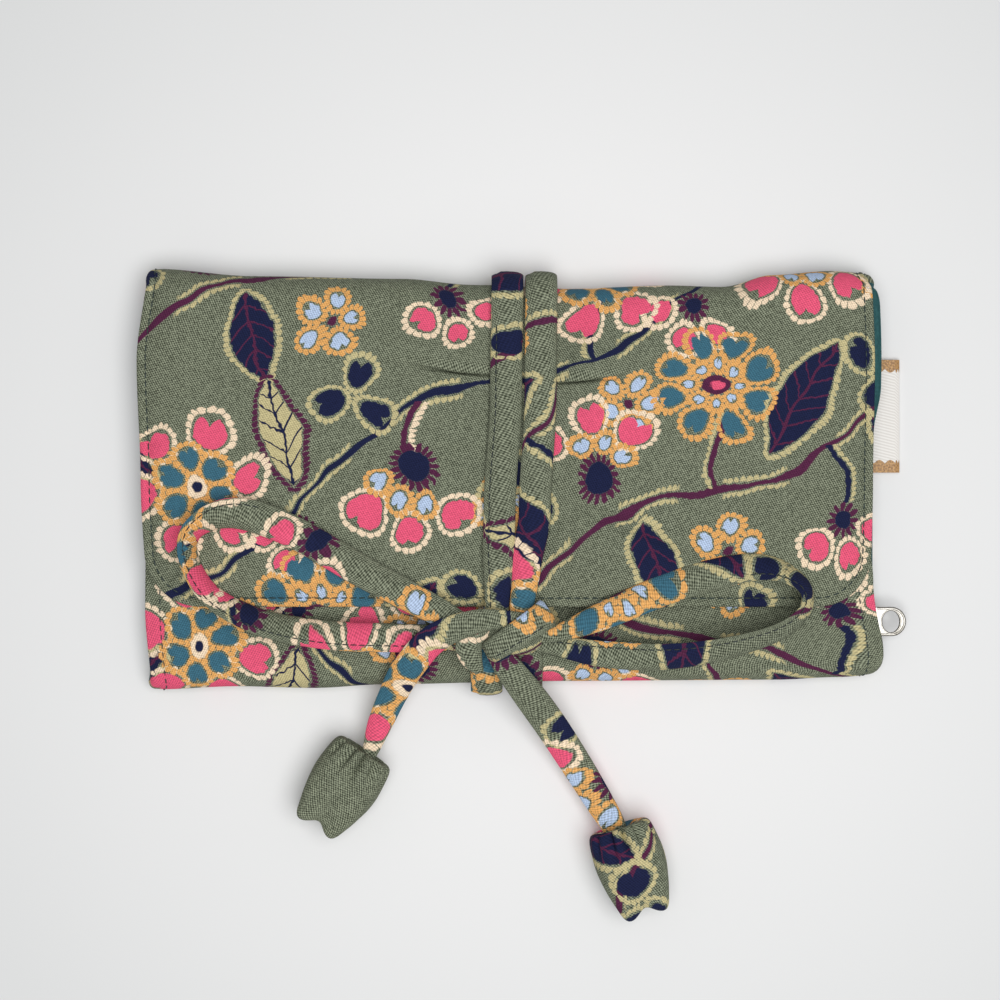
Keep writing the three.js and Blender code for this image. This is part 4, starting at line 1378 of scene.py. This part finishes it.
def paint_florals(graph, place, x, y, ground):
    """The whole pattern, from the stems up to the flowers."""
    work = Print(graph, place, x, y, ground)
    work.vine(0, 9, 1.1, PLUM, KHAKI)
    work.vine(70, -8, 1.0, NAVY, KHAKI)
    work.stalk((24, 77), 84, 20, 2.0, NAVY, KHAKI)
    work.stalk((92, 131), -96, 18, -2.0, PLUM, CREAM)
    work.stalk((62, 36), 80, 22, 2.5, PLUM, KHAKI)
    work.stalk((97, 48), -75, 18, 2.5, NAVY, KHAKI)
    work.leaf((44, 12), 285, 15, 6.4, NAVY, KHAKI, PLUM)
    work.leaf((88, 62), 58, 19, 8.2, NAVY, KHAKI, PLUM)
    work.leaf((52, 122), 104, 17, 6.8, KHAKI, PLUM, NAVY)
    work.leaf((2, 118), 140, 16, 6.6, NAVY, KHAKI, PLUM)
    work.blossom((66, 17), 10)
    work.blossom((118, 98), 40)
    work.blossom((36, 62), 70)
    work.sprig((74, 134), 80)
    work.sprig((112, 72), 30)
    work.sprig((2, 34), 200)
    work.bud((101, 26), 285)
    work.bud((56, 94), 250)
    work.rosette((26, 106), 12)
    work.carnation((91, 112), 266)
    work.aster((62, 68), 20)
    work.carnation((26, 38), 98)
    return work.colour


def weave(g, place, x, y):
    """Twill of flecked yarn: (light and dark of the yarns, from random flecks and from a painted shade that
    is lighter on the ribs and darker between them, height of the yarns).
    """
    across = (x * 0.87 + y * 0.5) * (1 / TWILL_PITCH)
    along = (y * 0.97 - x * 0.25) * (1 / TWILL_FLOAT)
    cell = g.add("ShaderNodeVectorMath", {0: place, 1: (YARN, YARN, 1.0)}, operation="SNAP")
    yarn = g.add("ShaderNodeTexWhiteNoise", {"Vector": cell}, "Value", noise_dimensions="2D")
    rib = (across * math.tau).sine()
    height = rib.times(0.3, (along * math.tau).sine().times(0.22, 0.5))
    shade = (yarn - 0.5).times(0.5, height)
    return g.ramp(shade, 0.0, 1.0), height


def cotton(name, printed):
    """Fine olive twill with flecked yarn and painted shade of its ribs, with or without the printed flowers.
    """
    g = Graph(name)
    place, x, y = g.cloth_place()
    shade, height = weave(g, place, x, y)
    # Ground olive set by the yarn's random flecks and by painted shade: lighter on the twill's ribs, darker
    # in the grooves between them.
    ground = g.mix(shade, OLIVE_DARK, OLIVE_LIGHT)
    colour = paint_florals(g, place, x, y, ground) if printed else ground
    # Multiplier for the colour, print included: the same random yarn flecks and painted shade of the twill's
    # ribs and grooves.
    yarn_tone_and_shade = g.mix(shade, (0.66, 0.66, 0.66, 1.0), (1.25, 1.25, 1.25, 1.0))
    shaded = g.mix(1.0, colour, yarn_tone_and_shade, "MULTIPLY")
    return g.surface(Base_Color=shaded, Roughness=0.9, Normal=g.bump(height, 0.12),
                     Specular_IOR_Level=0.15)


def plain_weave(name, dark, light, pitch, roughness):
    """Plain woven cloth with uneven yarn."""
    g = Graph(name)
    place, x, y = g.cloth_place()
    warp = (x * (math.tau / pitch)).sine()
    weft = (y * (math.tau / pitch)).sine()
    fleck = g.noise(g.stretched(place, 1.0, 0.5), 1.6, 2.0, 0.7)
    height = (warp * weft).times(0.3, fleck)
    colour = g.mix(g.ramp(height, 0.15, 0.85), dark, light)
    return g.surface(Base_Color=colour, Roughness=roughness, Normal=g.bump(height, 0.05), Sheen_Weight=0.1,
                     Specular_IOR_Level=0.3)


def satin(name):
    """White satin ribbon with a gold woven band at each end and no words."""
    g = Graph(name)
    place, x, y = g.cloth_place()
    slant = ((x + y * 0.7) * 7.0).sine()
    teeth = abs((y * 2.6).sine()).times(1.1, 2.9)
    end = g.math("MINIMUM", x, LABEL_LENGTH - x)
    band = g.ramp(teeth - end, 0.0, 0.2)
    yarn = g.noise(g.stretched(place, 0.8, 2.4), 2.0, 2.0, 0.7)
    gold = g.mix(g.ramp(yarn, 0.3, 0.7), ink(112, 70, 28), ink(206, 158, 92))
    white = g.mix(g.ramp(slant, -1.0, 1.0), ink(214, 209, 203), ink(236, 233, 228))
    height = slant.times(0.25, yarn * band)
    return g.surface(Base_Color=g.mix(band, white, gold), Roughness=0.42, Normal=g.bump(height, 0.06),
                     Specular_IOR_Level=0.5)


def thread(name, dark, light):
    """Sewing thread."""
    g = Graph(name)
    grain = g.grain(2500.0)
    colour = g.mix(g.ramp(grain, 0.3, 0.7), dark, light)
    return g.surface(Base_Color=colour, Roughness=0.6, Normal=g.bump(grain, 0.03))


def nickel(name):
    """Brushed nickel plate, a little stained, with blotches of painted darker reflection."""
    g = Graph(name)
    brushed = g.grain(4000.0, x_scale=0.2)
    # Blotches of darker base colour: partly stain, partly a painted darker, uneven reflection.
    stain_and_painted_reflection = g.grain(260.0, detail=4.0)
    colour = g.mix(g.ramp(stain_and_painted_reflection, 0.35, 0.7), ink(140, 136, 128), ink(186, 183, 177))
    return g.surface(Base_Color=colour, Metallic=1.0, Roughness=brushed.times(0.2, 0.22),
                     Normal=g.bump(brushed, 0.01))


def make_looks():
    return {
        "print": cotton("printed_cotton", True),
        "ground": cotton("olive_cotton", False),
        "lining": plain_weave("teal_lining", ink(22, 62, 66), ink(48, 98, 100), 0.45, 0.8),
        "tape": plain_weave("zip_tape_weave", ink(20, 40, 44), ink(42, 70, 72), 0.6, 0.85),
        "satin": satin("label_satin"),
        "thread": thread("teal_thread", ink(20, 32, 32), ink(48, 64, 60)),
        "dark_thread": thread("dark_thread", ink(18, 24, 26), ink(44, 54, 54)),
        "nickel": nickel("zip_nickel"),
    }


# Metal pieces from the CAD


METAL = ["zip_teeth_upper", "zip_teeth_lower", "zip_top_stop", "zip_bottom_stop", "slider_body",
         "slider_bail", "pull_tab"]


def dress_metal(looks):
    """Nickel and slightly broken edges for the solids of the zip."""
    for name in METAL:
        node = frame["nodes"][name]
        node.data.materials.clear()
        node.data.materials.append(looks["nickel"])
        bevel = node.modifiers.new("edges", "BEVEL")
        bevel.width = 0.00012
        bevel.segments = 2
        bevel.limit_method = "ANGLE"


def add_pull_rim(looks):
    """Raised border round the free end of the zip pull and round its eye."""
    level = 7.15
    straight_side = 4.4
    end = PULL_PIVOT + PULL_LENGTH - PULL_WIDTH / 2
    inset = PULL_WIDTH / 2 - 0.5
    border = [(x, -inset) for x in steps(end - straight_side, end, 0.8)[:-1]]
    border += [(end + inset * math.sin(t), -inset * math.cos(t)) for t in steps(0, math.pi, 0.15)]
    border += [(x, inset) for x in steps(end, end - straight_side, 0.8)[1:]]
    eye = [(end - 0.2 + 2.95 * math.cos(t), 3.65 * math.sin(t)) for t in steps(0, math.tau, 0.15)]
    shape = Shape()
    for line, radius, closed in ((border, 0.42, False), (eye, 0.34, True)):
        rings = []
        for i, (x, y) in enumerate(line):
            before = line[i - 1] if i else (line[-2] if closed else line[0])
            after = line[i + 1] if i + 1 < len(line) else (line[1] if closed else line[-1])
            across = Vector((before[1] - after[1], after[0] - before[0], 0)).normalized()
            middle = Vector((x + MIDDLE_X, y + ZIP_LINE, level))
            rings.append([(middle + across * radius * math.cos(t) + Vector((0, 0, radius * math.sin(t)))) * MM
                          for t in (-k * math.pi / 5 for k in range(10))])
        shape.tube(rings, [[(0.0, 0.0)] * 11] * len(rings), caps=not closed)
    piece = shape.object("pull_rim", [looks["nickel"]])
    settle(piece, "nickel", "zip_pull")


# Stage, in metres

FLOOR_HALF = 3.0
FLOOR_LEVEL = -0.0002
KEY_PLACE = (0.2, -0.22, 1.5)
KEY_SIZE = 1.4
KEY_WATTS = 21.6
SKY_STRENGTH = 0.28
CAMERA_DISTANCE = 0.8
CAMERA_TARGET = (-0.00815, -0.0063, 0.017)
PICTURE_WIDTH = 0.3


def link(name, data):
    """A new object in the scene."""
    thing = bpy.data.objects.new(name, data)
    bpy.context.scene.collection.objects.link(thing)
    return thing


def add_stage():
    """Pale floor, painted lighter near the roll and darker towards the corners: a painted pool of light."""
    mesh = bpy.data.meshes.new("floor")
    corners = [(x * FLOOR_HALF, y * FLOOR_HALF, 0) for x, y in ((-1, -1), (1, -1), (1, 1), (-1, 1))]
    mesh.from_pydata(corners, [], [(0, 1, 2, 3)])
    floor = link("floor", mesh)
    floor.location.z = FLOOR_LEVEL
    g = Graph("pale_floor")
    away = g.add("ShaderNodeVectorMath", {0: g.object_place()}, "Value", operation="LENGTH")
    # Painted pool of light: the floor's colour goes from lighter near the roll to darker at the corners.
    painted_light_falloff = g.ramp(away, 0.09, 0.22)
    colour = g.mix(painted_light_falloff, ink(236, 236, 236), ink(220, 221, 221))
    mesh.materials.append(g.surface(Base_Color=colour, Roughness=0.9, Specular_IOR_Level=0.2))


def add_lights():
    """One large soft lamp, and pale light from all round."""
    lamp = bpy.data.lights.new("key", "AREA")
    lamp.shape = "DISK"
    lamp.size = KEY_SIZE
    lamp.energy = KEY_WATTS
    holder = link("key", lamp)
    holder.location = KEY_PLACE
    holder.rotation_euler = (-Vector(KEY_PLACE)).to_track_quat("-Z", "Y").to_euler()
    world_light = bpy.data.worlds.new("studio")
    bpy.context.scene.world = world_light
    world_light.use_nodes = True
    background = world_light.node_tree.nodes["Background"]
    background.inputs["Color"].default_value = (1.0, 1.0, 1.0, 1.0)
    background.inputs["Strength"].default_value = SKY_STRENGTH


def add_camera():
    """Straight above, with the picture's width measured at the height of the flap."""
    camera = bpy.data.cameras.new("camera")
    camera.lens = camera.sensor_width * CAMERA_DISTANCE / PICTURE_WIDTH
    holder = link("camera", camera)
    x, y, z = CAMERA_TARGET
    holder.location = (x, y, CAMERA_DISTANCE + z)
    bpy.context.scene.camera = holder
    bpy.context.scene.view_settings.view_transform = "Standard"


def build():
    looks = make_looks()
    add_camera()
    add_lights()
    add_stage()
    tulips = {side: add_tulip(side, looks, cloth) for side, cloth in (("left", (0, 0)), ("right", (96, 40)))}
    add_bow(looks, tulips)
    add_straps(looks)
    add_knot_core(looks)
    add_knot_band(looks)
    add_knot_tuck(looks)
    add_flap_cloth(looks)
    add_pocket_cloth(looks)
    add_slip_pocket(looks)
    add_zip_tapes(looks)
    add_label(looks)
    dress_metal(looks)
    add_pull_rim(looks)


build()
